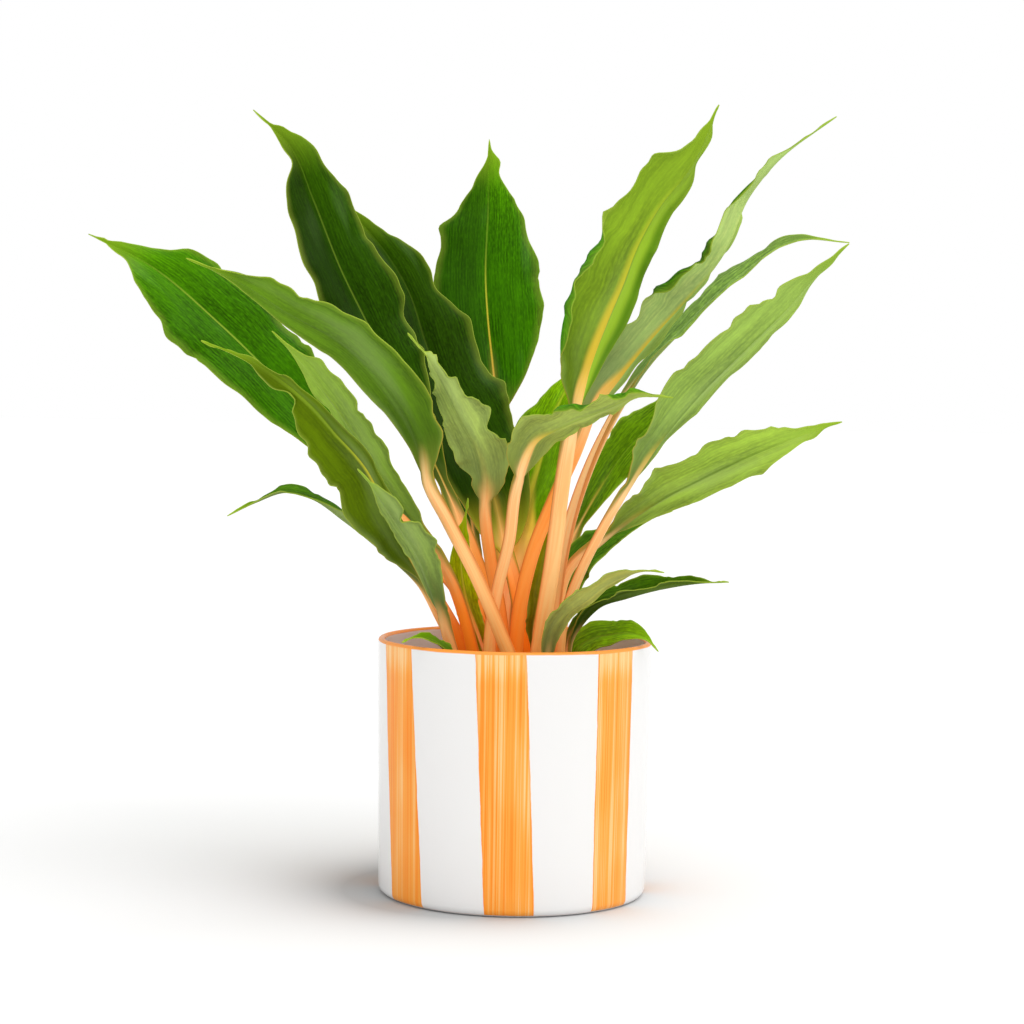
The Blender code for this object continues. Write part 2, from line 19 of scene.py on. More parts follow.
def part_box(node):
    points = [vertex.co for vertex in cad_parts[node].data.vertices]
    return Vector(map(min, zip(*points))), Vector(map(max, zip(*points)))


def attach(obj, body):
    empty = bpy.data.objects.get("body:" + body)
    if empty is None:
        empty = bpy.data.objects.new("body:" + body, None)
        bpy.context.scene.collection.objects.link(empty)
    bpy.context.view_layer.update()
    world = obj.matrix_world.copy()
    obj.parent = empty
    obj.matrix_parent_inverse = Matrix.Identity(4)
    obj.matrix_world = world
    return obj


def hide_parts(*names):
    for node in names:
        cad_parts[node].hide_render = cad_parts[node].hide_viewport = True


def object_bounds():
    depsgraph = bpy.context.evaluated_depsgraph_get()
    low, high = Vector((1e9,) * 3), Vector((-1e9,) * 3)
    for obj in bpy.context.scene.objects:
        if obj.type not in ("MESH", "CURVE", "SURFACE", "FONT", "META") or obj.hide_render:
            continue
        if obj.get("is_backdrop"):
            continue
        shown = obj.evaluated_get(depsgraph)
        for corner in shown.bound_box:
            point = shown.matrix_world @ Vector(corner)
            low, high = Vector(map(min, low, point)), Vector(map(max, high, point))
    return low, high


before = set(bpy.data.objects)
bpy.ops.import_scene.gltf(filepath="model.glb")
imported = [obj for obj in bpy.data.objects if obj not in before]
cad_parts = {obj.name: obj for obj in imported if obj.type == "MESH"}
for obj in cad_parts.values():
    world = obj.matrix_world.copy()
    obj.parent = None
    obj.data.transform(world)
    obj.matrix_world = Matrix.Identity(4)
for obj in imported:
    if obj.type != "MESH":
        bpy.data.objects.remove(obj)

MM = 0.001
solid_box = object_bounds()
print("solids:", len(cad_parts), "box in mm:", [round(c / MM) for corner in solid_box for c in corner])

# %% [markdown]
# ## Surfaces from arrays
# Everything here is thin or turned, so nearly every surface is a grid of points: stations along a leaf by
# places across it, or angles round the pot by places along its outline. One helper turns such a grid into
# a mesh. It hands whole arrays to Blender, which is far quicker than adding faces one by one, and it
# takes named numbers for each point, which the materials read later to know where on the leaf they are.

# %% A mesh from arrays
def mesh_object(name, points, faces, numbers=None):
    """An object from points in mm, four-cornered faces, and named arrays with a number for each point."""
    mesh = bpy.data.meshes.new(name)
    mesh.vertices.add(len(points))
    mesh.vertices.foreach_set("co", (np.asarray(points) * MM).astype(np.float32).ravel())
    mesh.loops.add(faces.size)
    mesh.loops.foreach_set("vertex_index", faces.astype(np.int32).ravel())
    mesh.polygons.add(len(faces))
    mesh.polygons.foreach_set("loop_start", np.arange(0, faces.size, faces.shape[1], dtype=np.int32))
    for key, values in (numbers or {}).items():
        layer = mesh.attributes.new(key, "FLOAT", "POINT")
        layer.data.foreach_set("value", np.asarray(values, np.float32).ravel())
    mesh.update()
    mesh.validate()
    mesh.shade_smooth()
    made = bpy.data.objects.new(name, mesh)
    bpy.context.scene.collection.objects.link(made)
    return made


def grid_faces(rows, columns, ring=False):
    """Faces of a grid of points in rows. With ring, the last column joins the first one again."""
    index = np.arange(rows * columns).reshape(rows, columns)
    if ring:
        index = np.concatenate([index, index[:, :1]], axis=1)
    return np.stack([index[:-1, :-1], index[:-1, 1:], index[1:, 1:], index[1:, :-1]], axis=-1).reshape(-1, 4)


print("a 3 by 4 grid has", len(grid_faces(3, 4)), "faces")

# %% [markdown]
# ## How a leaf is described
# A leaf of this plant is one long strip: a fleshy stalk that widens into a blade and ends in a whisker.
# It could be sculpted, but 28 leaves that cross each other without touching are easier to keep in order as
# rows of a table. The line of the midrib says where a leaf goes, its face says how it turns, and a few
# numbers give its width, fold and waves. The solids were made from the same rows, so the finished leaves
# stay on them.

# %% The leaves
# One row for each leaf, with lengths in mm. "half" is half the width of the blade and "stalk" of the stalk.
# "start" is where the blade begins and "widest" where it is widest, as shares of the spine and the blade.
# "fold" is how far each half is folded up along the midrib, in degrees. "wave" is the height of the edge's
# waves, their number and where they begin. "taper" is how drawn out the blade is at its foot and at its
# tip: 1 is a plain point, less is rounder. "face" is the way its upper side looks at the foot, the middle
# and the tip: x right, y away, z up. "spine" is the midrib from the rim of the pot to the tip.
Leaf = namedtuple("Leaf", "half stalk start widest fold wave taper face spine")
LEAVES = {
    "leaf_far_left": Leaf(
        26.5, 4, 0.38, 0.56, 8, (2, 5, 0), (0.9, 0.72), [(0.5, -1, 0.2), (0.35, -1, 0.5), (0.2, -1, 0.6)],
        [(-13, 8, 118), (-20, 10, 138), (-44, 15, 170), (-81, 23, 212), (-119.4, 30, 252.8),
         (-156.3, 36, 288), (-196.3, 40, 320), (-227, 42, 335)]),
    "leaf_left_high": Leaf(
        15, 3.7, 0.44, 0.42, 12, (1.2, 4, 1), (1, 0.9), [(0.2, 1, 0), (0.3, 1, 0.5), (0.4, 1, 0.7)],
        [(-1, -32, 118), (-8, -34, 137), (-18, -42, 161), (-34, -56, 193), (-43, -64, 211),
         (-46.8, -70, 231.5), (-57, -75, 250.4), (-80.5, -80, 276), (-113.2, -83, 294.3),
         (-131.2, -83, 305.3), (-159, -80, 317)]),
    "leaf_left_middle": Leaf(
        11, 3.4, 0.36, 0.55, 10, (1.2, 4, 2), (1.5, 0.75), [(0.2, 1, 0), (0.5, 1, 0.5), (0.6, 1, 0.7)],
        [(-20, -19, 118), (-23, -20, 132), (-32, -24, 160), (-44, -26, 182), (-60, -28, 203), (-75, -31, 225),
         (-92, -35, 250), (-107, -38, 269), (-122, -38, 284)]),
    "leaf_left_broad": Leaf(
        18, 3.8, 0.27, 0.38, 38, (1.5, 6, 0), (1.9, 1.6), [(0.3, 1, 0), (-0.4, 0.8, -0.4), (-0.3, 0.9, -0.2)],
        [(-22, -12, 118), (-30, -16, 134), (-45, -32, 161), (-62, -54, 192), (-75.5, -71, 219.7),
         (-87.5, -81, 233.7), (-98.5, -89, 246.7), (-113.5, -99, 259.7), (-131.5, -107, 270.7),
         (-148, -111, 277)]),
    "leaf_left_front": Leaf(
        8.5, 3.4, 0.28, 0.5, 24, (1, 4, 0), (0.8, 0.9), [(0.3, 1, 0), (0.3, 0.9, 0.1), (0.3, 0.9, 0.3)],
        [(-30, -20, 118), (-33, -24, 130), (-37, -32, 146), (-42, -43, 160), (-46.9, -57, 174.3),
         (-55, -73, 188.9), (-63, -86, 201.9), (-70, -96, 212.9), (-75.2, -102, 219.1)]),
    "leaf_left_low": Leaf(
        10, 3, 0.33, 0.5, 14, (1, 4, 0), (1, 1.1), [(0.5, 0.5, 0.5), (0.2, -0.1, 1), (-0.3, -0.3, 1)],
        [(-29, -5, 118), (-32, -6, 127), (-39, -10, 142), (-47, -14, 157), (-65, -21, 174), (-86, -28, 191),
         (-102, -34, 202), (-115, -38, 205), (-129, -41, 200), (-143, -44, 193)]),
    "leaf_upper_left": Leaf(
        23, 4.2, 0.29, 0.55, 16, (2, 5, 1), (1.1, 0.65), [(0, -1, 0), (0.5, -1, 0.2), (0.4, -1, 0.5)],
        [(-5, -1, 118), (-11, 3, 139), (-21, 10, 169), (-38, 22, 207), (-58.2, 38, 246), (-78.5, 52, 285.9),
         (-95.7, 62, 318.9), (-112.2, 72, 357.6), (-124.4, 76, 384.6), (-145, 78, 405)]),
    "leaf_upper_left_dark": Leaf(
        27, 4.2, 0.26, 0.42, 14, (1.1, 5, 1), (0.6, 0.85), [(0, -1, 0), (0.3, -1, 0.3), (0.2, -1, 0.6)],
        [(8, 15, 118), (3, 19, 140), (-1.5, 25, 160), (-6, 32, 175), (-12.4, 42, 200.7), (-23.9, 52, 226.2),
         (-38.9, 64, 251.4), (-50.9, 78, 281.4), (-60.9, 90, 309.4), (-72.9, 98, 329), (-89, 106, 348),
         (-104, 112, 364)]),
    "leaf_centre_rear": Leaf(
        31, 4.2, 0.48, 0.42, 10, (0.8, 5, 0), (1.4, 0.9), [(0, -1, 0), (0, -1, 0.3), (0, -1, 0.6)],
        [(-2, 30, 118), (-4, 36, 136), (-5.5, 56, 177), (-9.3, 78, 225), (-14, 94, 266), (-17.7, 104, 296),
         (-19.4, 112, 319), (-18.7, 124, 355), (-18.8, 136, 397)]),
    "leaf_front_centre": Leaf(
        14, 3.4, 0.49, 0.3, 14, (2, 5, 0), (1.5, 1.4), [(0, 1, 0), (0.1, 1, 0.3), (0.1, 1, 0.6)],
        [(-5, -12, 118), (-8, -14, 145), (-13, -19, 171), (-16, -28, 194), (-16.2, -38, 213.9),
         (-20.9, -50, 230.7), (-27.5, -60, 242.9), (-34.5, -72, 256.9), (-42.5, -84, 270.9),
         (-53, -94, 283)]),
    "leaf_front_right": Leaf(
        13, 3.3, 0.505, 0.3, 14, (1.5, 5, 2), (1.9, 0.9), [(0, 1, 0), (-0.3, 1, 0.6), (-0.4, 0.8, 1)],
        [(-13, -26, 118), (-12, -27, 140), (-9, -30, 159), (-4, -38, 182), (-1, -48, 208), (2, -55, 220),
         (7, -64, 231), (20, -82, 240), (38, -100, 248), (55, -116, 255), (70, -128, 255)]),
    "leaf_upper_right": Leaf(
        23, 4.4, 0.44, 0.42, 28, (1.5, 5, 0), (2.4, 0.6), [(0, 1, 0), (-0.6, 0.9, 0.2), (-0.6, 0.9, 0.4)],
        [(11, -28, 118), (14, -31, 142), (18, -37, 173), (22, -46, 213), (27, -54, 247), (36, -60, 277),
         (42, -64, 293), (48.2, -68, 308.4), (54.4, -72, 325.8), (64, -76, 344), (78.8, -82, 363.6),
         (91, -90, 392)]),
    "leaf_right_tall": Leaf(
        16, 3.8, 0.42, 0.3, 28, (1.5, 6, 0), (1.7, 1.2), [(0, 1, 0), (-0.7, 0.8, 0.3), (-0.7, 0.3, 0.5)],
        [(0, -21, 118), (2, -22, 147), (8, -24, 175), (18, -24, 202), (28, -24, 225), (38, -25, 250),
         (51.2, -28, 266.8), (65.2, -33, 284.8), (82, -39, 304), (98, -47, 325), (109, -55, 352),
         (122, -61, 369), (149, -69, 390)]),
    "leaf_right_narrow": Leaf(
        10, 3.6, 0.52, 0.45, 16, (1, 4, 0), (1, 1.1), [(0, -1, 0), (-0.6, -0.3, 1), (-0.2, -0.6, 1)],
        [(18, -3, 118), (20, -1, 150), (28, 0, 194), (43, -1, 235), (58.4, -3, 262.6), (82.2, -8, 289.8),
         (110.2, -14, 316.8), (137, -20, 334), (163, -24, 333)]),
    "leaf_right_broad": Leaf(
        17, 2.8, 0.4, 0.52, 24, (1.5, 5, 0), (1.2, 0.85), [(0, 1, 0), (-0.6, 0.8, 0.35), (-0.6, 0.8, 0.4)],
        [(22, -16, 118), (24, -19, 141), (30, -25, 161), (42, -34, 188), (56, -45, 214), (69, -54, 234),
         (89, -65, 259), (105, -73, 276), (125, -82, 297), (141, -89, 316), (153, -94, 328)]),
    "leaf_right_bright": Leaf(
        15, 3.6, 0.38, 0.5, 10, (1.5, 5, 0), (1.25, 0.7), [(0, -0.3, 1), (-0.4, 1, 0.3), (-0.4, 1, 0.6)],
        [(19, 6, 118), (21, 10, 144), (26, 9, 164), (45, 2, 183), (58, -6, 193), (72, -14, 203),
         (91, -25, 214), (120, -36, 229), (141, -43, 238), (158, -48, 244)]),
    "leaf_right_under": Leaf(
        11, 3.2, 0.25, 0.45, 14, (1, 4, 0), (1, 1.1), [(0, -1, 0.5), (-0.3, -1, 1), (-0.2, -1, 1)],
        [(22, 16, 118), (21, 18, 138), (24, 18, 151), (31, 21, 165), (43, 20, 177), (55, 18, 185),
         (69, 16, 192), (80, 15, 196)]),
    "leaf_inner_right": Leaf(
        23, 4, 0.26, 0.5, 14, (1.5, 5, 0), (1, 1.1), [(0, -1, 0), (-0.8, -0.8, 0.3), (-0.5, -0.9, 0.4)],
        [(-6, 22, 118), (-5, 28, 144), (-2, 35, 162), (2, 44, 183), (8, 54, 204), (13, 62, 222),
         (18, 70, 241), (27, 78, 260), (39, 84, 279)]),
    "leaf_right_dark": Leaf(
        13, 3.8, 0.4, 0.55, 14, (1, 4, 0), (1, 1.1), [(0, -1, 0), (-0.3, -1, 0.5), (-0.2, -1, 0.9)],
        [(17, 26, 118), (19, 28, 141), (23, 32, 165), (32, 36, 185), (43, 41, 205), (55, 46, 223),
         (70, 52, 239), (88, 58, 253), (108, 64, 263)]),
    "leaf_small_pale": Leaf(
        6.2, 2.6, 0.18, 0.45, 12, (0.8, 4, 0), (0.8, 0.9), [(0, 1, 0), (-0.3, 1, 0.8), (-0.2, 0.9, 1)],
        [(15, -38, 118), (17, -42, 133), (22, -48, 145), (34, -58, 156), (43, -66, 164), (52, -74, 169),
         (61, -82, 172), (70, -90, 172)]),
    "leaf_small_folded": Leaf(
        8.5, 2.4, 0.24, 0.45, 40, (0.8, 4, 0), (0.8, 0.9), [(0, -0.2, 1), (-0.2, -0.4, 0.9), (0, -0.3, 1)],
        [(26, -9, 118), (28, -11, 131), (34, -14, 141), (42, -18, 149), (55, -23, 154), (75, -30, 160),
         (91, -36, 163), (105, -40, 164)]),
    "leaf_over_right_rim": Leaf(
        9, 2.4, 0.08, 0.45, 6, (0.5, 3, 0), (0.8, 0.9), [(0, -0.3, 1), (0, -1, 0.7), (0.5, -1, 0.5)],
        [(29, -1, 118), (32, -3, 126), (39, -6, 131), (48, -14, 134), (58, -24, 136), (66, -33, 134),
         (71, -40, 129)]),
    "leaf_over_left_rim": Leaf(
        4, 2, 0.1, 0.5, 12, (0.5, 4, 0), (0.8, 0.9), [(0, -0.3, 1), (0, -0.6, 0.8), (-0.3, -0.9, 0.5)],
        [(-26, -34, 118), (-32, -40, 126), (-41, -50, 134), (-49, -58, 136), (-55, -64, 134)]),
    "leaf_rear_centre": Leaf(
        19, 4, 0.32, 0.5, 12, (1.5, 5, 0.5), (1, 1.1), [(0, -1, 0), (0, -1, 1), (0, -0.6, 1)],
        [(0, 38, 118), (0, 46, 140), (-2, 64, 165), (-6, 84, 190), (-12, 105, 214), (-18, 126, 236),
         (-24, 146, 252), (-29, 162, 260)]),
    "leaf_rear_left": Leaf(
        16, 4, 0.34, 0.5, 12, (1.5, 5, 1.5), (1, 1.1), [(0.2, -1, 0), (0.1, -0.6, 1), (0, -0.4, 1)],
        [(-18, 25, 118), (-19, 35, 142), (-22, 51, 172), (-28, 72, 206), (-37, 96, 236), (-48, 118, 257),
         (-60, 138, 270), (-70, 152, 276)]),
    "leaf_rear_right": Leaf(
        16, 3.8, 0.32, 0.5, 12, (1.2, 5, 2.5), (1, 1.1), [(0, -1, 0), (-0.7, -0.1, 0.7), (-0.5, 0, 0.8)],
        [(12, 34, 118), (16, 43, 141), (25, 58, 172), (37, 75, 198), (51, 91, 218), (73, 108, 242),
         (97, 121, 262), (118, 131, 276)]),
    "leaf_young_left": Leaf(
        7, 2.4, 0.2, 0.5, 16, (0.8, 4, 0), (1, 1.1), [(0, -1, 0), (-0.3, -1, 0.3), (0, -1, 0.5)],
        [(-14, -5, 118), (-18, -8, 130), (-25, -11, 150), (-28, -14, 168), (-27, -18, 186), (-25, -20, 202)]),
    "leaf_young_right": Leaf(
        7, 2.4, 0.2, 0.5, 16, (0.8, 4, 0), (1, 1.1), [(0, 1, 0), (-0.2, 1, 0.3), (-0.2, 1, 0.5)],
        [(10, 2, 118), (10, -2, 129), (12, -9, 150), (14, -14, 165), (17, -17, 184), (23, -20, 200)]),
}
print(len(LEAVES), "leaves in the table")

# %% [markdown]
# ## The curve of a midrib
# A midrib bends smoothly, and so must the leaf. A cubic through the table's points does that: between two
# points it leaves the first and reaches the second with the mean slope round each. A Bezier curve object
# would give the same line, but the leaf also needs its direction and the way its face turns at every
# station, and those come straight out of the formula.

# %% Curves and directions
STALK_FOOT = 95.0               # height of the buried end of every stalk, mm
BURIED = 0.9                    # how far the stalks draw together under the soil
SLOPE_STEP = 1e-3               # step along a spine between the two points that give its direction


def unit(vectors):
    """The vectors at length one."""
    return vectors / np.linalg.norm(vectors, axis=-1, keepdims=True)


def line_length(points):
    """How long the straight lines from point to point are together."""
    return np.linalg.norm(np.diff(points, axis=0), axis=1).sum()


def smooth_curve(points, u):
    """Places on the smooth curve through the points, for u from 0 to 1 along its chords.

    Between two points the curve is a cubic whose slope at each is the mean slope round it.
    """
    points = np.asarray(points, float)
    chords = np.linalg.norm(np.diff(points, axis=0), axis=1)
    knots = np.concatenate([[0.0], np.cumsum(chords)]) / chords.sum()
    slopes = np.gradient(points, knots, axis=0)
    k = np.clip(np.searchsorted(knots, u, side="right") - 1, 0, len(points) - 2)
    span = (knots[k + 1] - knots[k])[:, None]
    t = (u - knots[k])[:, None] / span
    return ((2 * t**3 - 3 * t**2 + 1) * points[k] + (t**3 - 2 * t**2 + t) * span * slopes[k]
            + (3 * t**2 - 2 * t**3) * points[k + 1] + (t**3 - t**2) * span * slopes[k + 1])


def whole_spine(leaf):
    """The leaf's spine with its buried end, a little nearer the middle of the pot, put before it."""
    x, y, _ = leaf.spine[0]
    return [(BURIED * x, BURIED * y, STALK_FOOT)] + leaf.spine


def leaf_axes(leaf, u):
    """The spine's points at u, and there the upper side's direction and the one across.

    The upper side's direction is the face in the table less its part along the spine, and the one across
    is the cross product of the spine's direction with it.
    """
    spine = whole_spine(leaf)
    centre = smooth_curve(spine, u)
    ahead = smooth_curve(spine, np.minimum(u + SLOPE_STEP, 1))
    along = unit(ahead - smooth_curve(spine, np.maximum(u - SLOPE_STEP, 0)))
    faces = np.asarray(leaf.face, float)
    places = np.linspace(0, 1, len(faces))
    face = np.stack([np.interp(u, places, faces[:, axis]) for axis in range(3)], axis=-1)
    up = unit(face - (face * along).sum(-1, keepdims=True) * along)
    return centre, up, np.cross(along, up)


lengths = {name: line_length(leaf.spine) for name, leaf in LEAVES.items()}
print("longest leaf:", max(lengths, key=lengths.get), round(max(lengths.values())), "mm")

# %% [markdown]
# ## The outline and the waves
# The blade's width is a sine: nothing at both ends, full in between. Raising the length to a power before
# the sine moves the widest place up or down the leaf. The margins of a real blade grow a little faster
# than its middle, so they have too much length and wave up and down. A wave that travels along each
# margin, and dies out towards the midrib, gives the same look without simulating growth. A second,
# shorter wave and a slow random wander keep the margins from looking machine-made.

# %% Outline and waves
STALK_NARROWING = 0.12          # how much narrower a stalk gets from its foot to its blade
TIP_HALF_WIDTH = 0.15           # mm
WHISKER = 0.05                  # share of the blade's length that its thin drawn-out tip takes
WHISKER_FOOT = 0.7              # half width where the whisker begins, mm
TIP_DRAW = 0.35                 # how much of the width the drawn-out tip loses before its whisker
TIP_DRAW_FROM = 0.78            # place on the blade where it begins to
TIP_DRAW_LENGTH = 0.15          # and the share of the blade over which it does
RUFFLE = 0.9                    # how much of a wave's height also goes into the leaf's outline
SWELL = 0.7                     # below 1, the waves reach their height sooner from the blade's ends
EDGE_LEAD = 2.1                 # how far the right edge's waves run ahead of the left's, radians
UNEVEN = 0.9                    # how far a wave may come early or late, radians
SCALLOP = 0.6                   # share of round lobes in the outline's waves. The rest is plain sines.
RIPPLE = 0.25                   # height of the short waves, as a share of the long ones
RIPPLE_COUNT = 2.7              # short waves to each long one
WANDER = 0.045                  # how far the outline wanders, as a share of its width
print("waves lead by", round(math.degrees(EDGE_LEAD)), "degrees on the right edge")

# %% Lobes and curls
# Where a margin bulges, or with a minus draws in: the edge, -1 left or 1 right as seen on the upper side,
# the place on the blade, and how far in mm.
LOBES = {
    "leaf_far_left": [(-1, 0.65, 3), (-1, 0.88, -3), (-1, 0.41, -2), (1, 0.82, -3), (1, 0.71, 2.5)],
    "leaf_upper_left": [(1, 0.87, 4), (-1, 0.85, -5), (-1, 0.57, -3), (-1, 0.74, 1.5)],
    "leaf_upper_left_dark": [(1, 0.67, -4), (1, 0.57, 3), (1, 0.37, 4.5)],
    "leaf_centre_rear": [(-1, 0.67, 4.5), (1, 0.92, 4.5), (-1, 0.81, -2), (1, 0.72, 2)],
    "leaf_front_centre": [(-1, 0.62, -3), (-1, 0.545, 2), (-1, 0.375, -5.5), (1, 0.65, 2.5),
                          (1, 0.13, -3.5)],
    "leaf_upper_right": [(1, 0.8, 5), (1, 0.55, -5), (1, 0.39, -2), (-1, 0.83, -4.5), (-1, 0.91, 4)],
    "leaf_right_tall": [(1, 0.62, -4), (1, 0.57, 2.5), (1, 0.51, -3.5), (1, 0.4, 4), (1, 0.31, -5),
                        (-1, 0.67, 4)],
    "leaf_right_broad": [(1, 0.75, -5.5), (1, 0.6, -3.5), (1, 0.69, 2), (-1, 0.93, 3)],
    "leaf_right_bright": [(1, 0.69, 3), (-1, 0.89, 2.5), (-1, 0.66, 4), (1, 0.8, -1.5)],
    "leaf_left_middle": [(-1, 0.5, -3), (1, 0.65, -3), (-1, 0.82, 3.5)],
    "leaf_left_broad": [(-1, 0.86, 3), (-1, 0.75, 3), (1, 0.73, -3.5), (1, 0.56, 4)],
    "leaf_left_front": [(-1, 0.66, -4), (-1, 0.47, 4)],
    "leaf_left_high": [(-1, 0.53, -3), (-1, 0.13, 3)],
    "leaf_front_right": [(1, 0.84, 4.5), (1, 0.77, 2.5), (-1, 0.8, 1.5)],
}
LOBE_LENGTH = 0.032             # as a share of the blade

# Where a margin curls over and shows the other side: the edge, the place on the blade, how much of the
# blade it takes, and by how many radians it turns.
CURLS = {
    "leaf_upper_right": [(1, 0.31, 0.10, 3.2), (1, 0.52, 0.06, 2.9)],
    "leaf_right_tall": [(1, 0.45, 0.06, 1.5), (1, 0.56, 0.05, 2.6), (1, 0.72, 0.04, 2.4)],
    "leaf_right_narrow": [(-1, 0.45, 0.08, 2.6)],
    "leaf_front_right": [(1, 0.55, 0.08, 2.6), (1, 0.83, 0.09, 3.0)],
    "leaf_left_high": [(-1, 0.88, 0.06, 2.6)],
}
print(len(LOBES), "leaves with lobes and", len(CURLS), "with curls")

# %% Widths and waves
def leaf_widths(leaf, u):
    """Half widths at u, and how far along its blade each place is, 0 on the stalk and 1 at the tip.

    The blade is a sine of half a turn over its length, which is raised to the power that puts the widest
    place where the table has it, and the sine itself is raised to the taper. The whisker is added to it as
    the root of both squares, and the stalk's own width holds wherever it is more.
    """
    blade = np.clip((u - leaf.start) / (1 - leaf.start), 0, 1)
    power = math.log(0.5) / math.log(leaf.widest)
    taper = np.where(blade < leaf.widest, *leaf.taper)
    broad = np.clip(blade / (1 - WHISKER), 0, 1)
    width = leaf.half * np.clip(np.sin(np.pi * broad**power), 0, 1) ** taper
    width *= 1 - TIP_DRAW * np.clip((blade - TIP_DRAW_FROM) / TIP_DRAW_LENGTH, 0, 1)
    stalk = leaf.stalk * (1 - STALK_NARROWING * np.clip(u / leaf.start, 0, 1)) * np.sqrt(1 - blade)
    whisker = np.interp(blade, [1 - 2 * WHISKER, 1 - WHISKER, 1], [0, WHISKER_FOOT, TIP_HALF_WIDTH])
    return np.maximum(np.hypot(width, whisker), stalk), blade


def wander(blade, rng):
    """A smooth random line between about -1 and 1: three sines, each quicker and lower than the last."""
    phases = rng.uniform(0, 2 * np.pi, 3)
    return sum(np.sin(2 * np.pi * count * blade + phase) / count**0.5
               for count, phase in zip((1.7, 3.9, 7.3), phases)) / 1.5


def wavy_edges(leaf, blade, v, rng):
    """For each point the wave's height and how far the outline swells, both in mm, and their drift.

    The wave is a sine that comes early or late by the drift, a random line. The outline follows a scallop,
    which is the size of a sine of half the speed: round lobes with sharp bites between them.
    """
    height, count, phase = leaf.wave
    drift = np.where(v > 0, wander(blade, rng), wander(blade, rng))
    turn = 2 * np.pi * count * blade + phase + np.where(v > 0, EDGE_LEAD, 0.0) + UNEVEN * drift
    swell = height * np.clip(np.sin(np.pi * blade), 0, 1) ** SWELL * (1 + 0.5 * drift)
    ripple = RIPPLE * np.sin(RIPPLE_COUNT * turn + 2 * drift)
    scallop = 1.6 * np.abs(np.sin((turn + 1) / 2)) - 1
    scalloped = SCALLOP * scallop + (1 - SCALLOP) * np.sin(turn + 1) + ripple
    return swell * (np.sin(turn) + v**2 * ripple), swell * scalloped, drift


def humps(rows, power, blade, v):
    """A smooth hump on a margin for each row, added up: its edge, its place, its length and its height.

    A hump falls off as the exponential of minus its distance, in lengths, to that power.
    """
    parts = [np.where(v * edge > 0, height, 0.0) * np.exp(-((blade - place) / length) ** power)
             for edge, place, length, height in rows]
    return sum(parts, 0.0 * blade * v)


u = np.linspace(0, 1, 5)
for name in ("leaf_far_left", "leaf_upper_right"):
    print(name, "half widths in mm:", leaf_widths(LEAVES[name], u)[0].round(1))

# %% [markdown]
# ## The leaf's own surface
# Each half of a blade is a strip that rises from the midrib by the fold angle. The finished leaf adds what
# the solid leaves out: margins that roll under in places, a few that curl right over and show the other
# side, halves that arch a little, a groove over the midrib and a keel under it, shallow pleats between the
# veins, and a stalk with a round underside. The upper and the lower face are two grids with the same
# stations, joined along their edges, so the leaf is a closed solid that is only as thick as a leaf.

# %% Sheet, stalk and rolled margins
STALK_DEPTH = 0.85              # a stalk's thickness, as a share of its half width
STALK_ROUND = 0.9               # how far the stalk's underside is rounded off towards its edges
STALK_FADE = 0.2                # share of the blade over which the stalk thins into a sheet
SHEET = 0.45                    # thickness of the blade, mm
ARCH = 0.07                     # rise of the middle of each half, as a share of its width
GROOVE = 0.45                   # depth of the groove over the midrib, mm
KEEL = 1.0                      # height of the keel under the midrib, mm
RIB_REACH = 1.3                 # half width of groove and keel, mm
PLEATS = 4                      # shallow folds along each half
PLEAT_DEPTH = 0.004             # as a share of the half width
ROLL_FROM = 0.50                # place across, as a share of the half width, where a margin begins to roll
ROLLS = 2.6                     # patches of rolled margin along a blade
LEFT_ROLLS = 3.4                # where the patches begin on the left edge, radians
RIGHT_ROLLS = 1.0               # and on the right one
LEAST_WIDTH = 0.3               # share of its plain width that the deepest bite leaves


def rolled(v, roll):
    """How far out and how far down a strip of width one lies when its margin turns under by roll.

    The strip's slope grows from nothing at ROLL_FROM to roll at the margin. Its place is the sum of the
    slope's cosine and sine from the midrib outwards.
    """
    slope = roll * np.clip((np.abs(v) - ROLL_FROM) / (1 - ROLL_FROM), 0, 1) ** 1.5
    step = np.diff(v, axis=1)
    out, down = [np.pad(np.cumsum((part[:, 1:] + part[:, :-1]) / 2 * step, axis=1), ((0, 0), (1, 0)))
                 for part in (np.cos(slope), np.sin(slope) * np.sign(v))]
    middle = v.shape[1] // 2
    return out - out[:, [middle]], down - down[:, [middle]]


print("rolled by a radian, a margin is at", rolled(np.linspace(-1, 1, 41)[None], 1.0)[0].max().round(3))

# %% Leaf surface
STATIONS = 160                  # places along a leaf
PLACES = 41                     # places across it


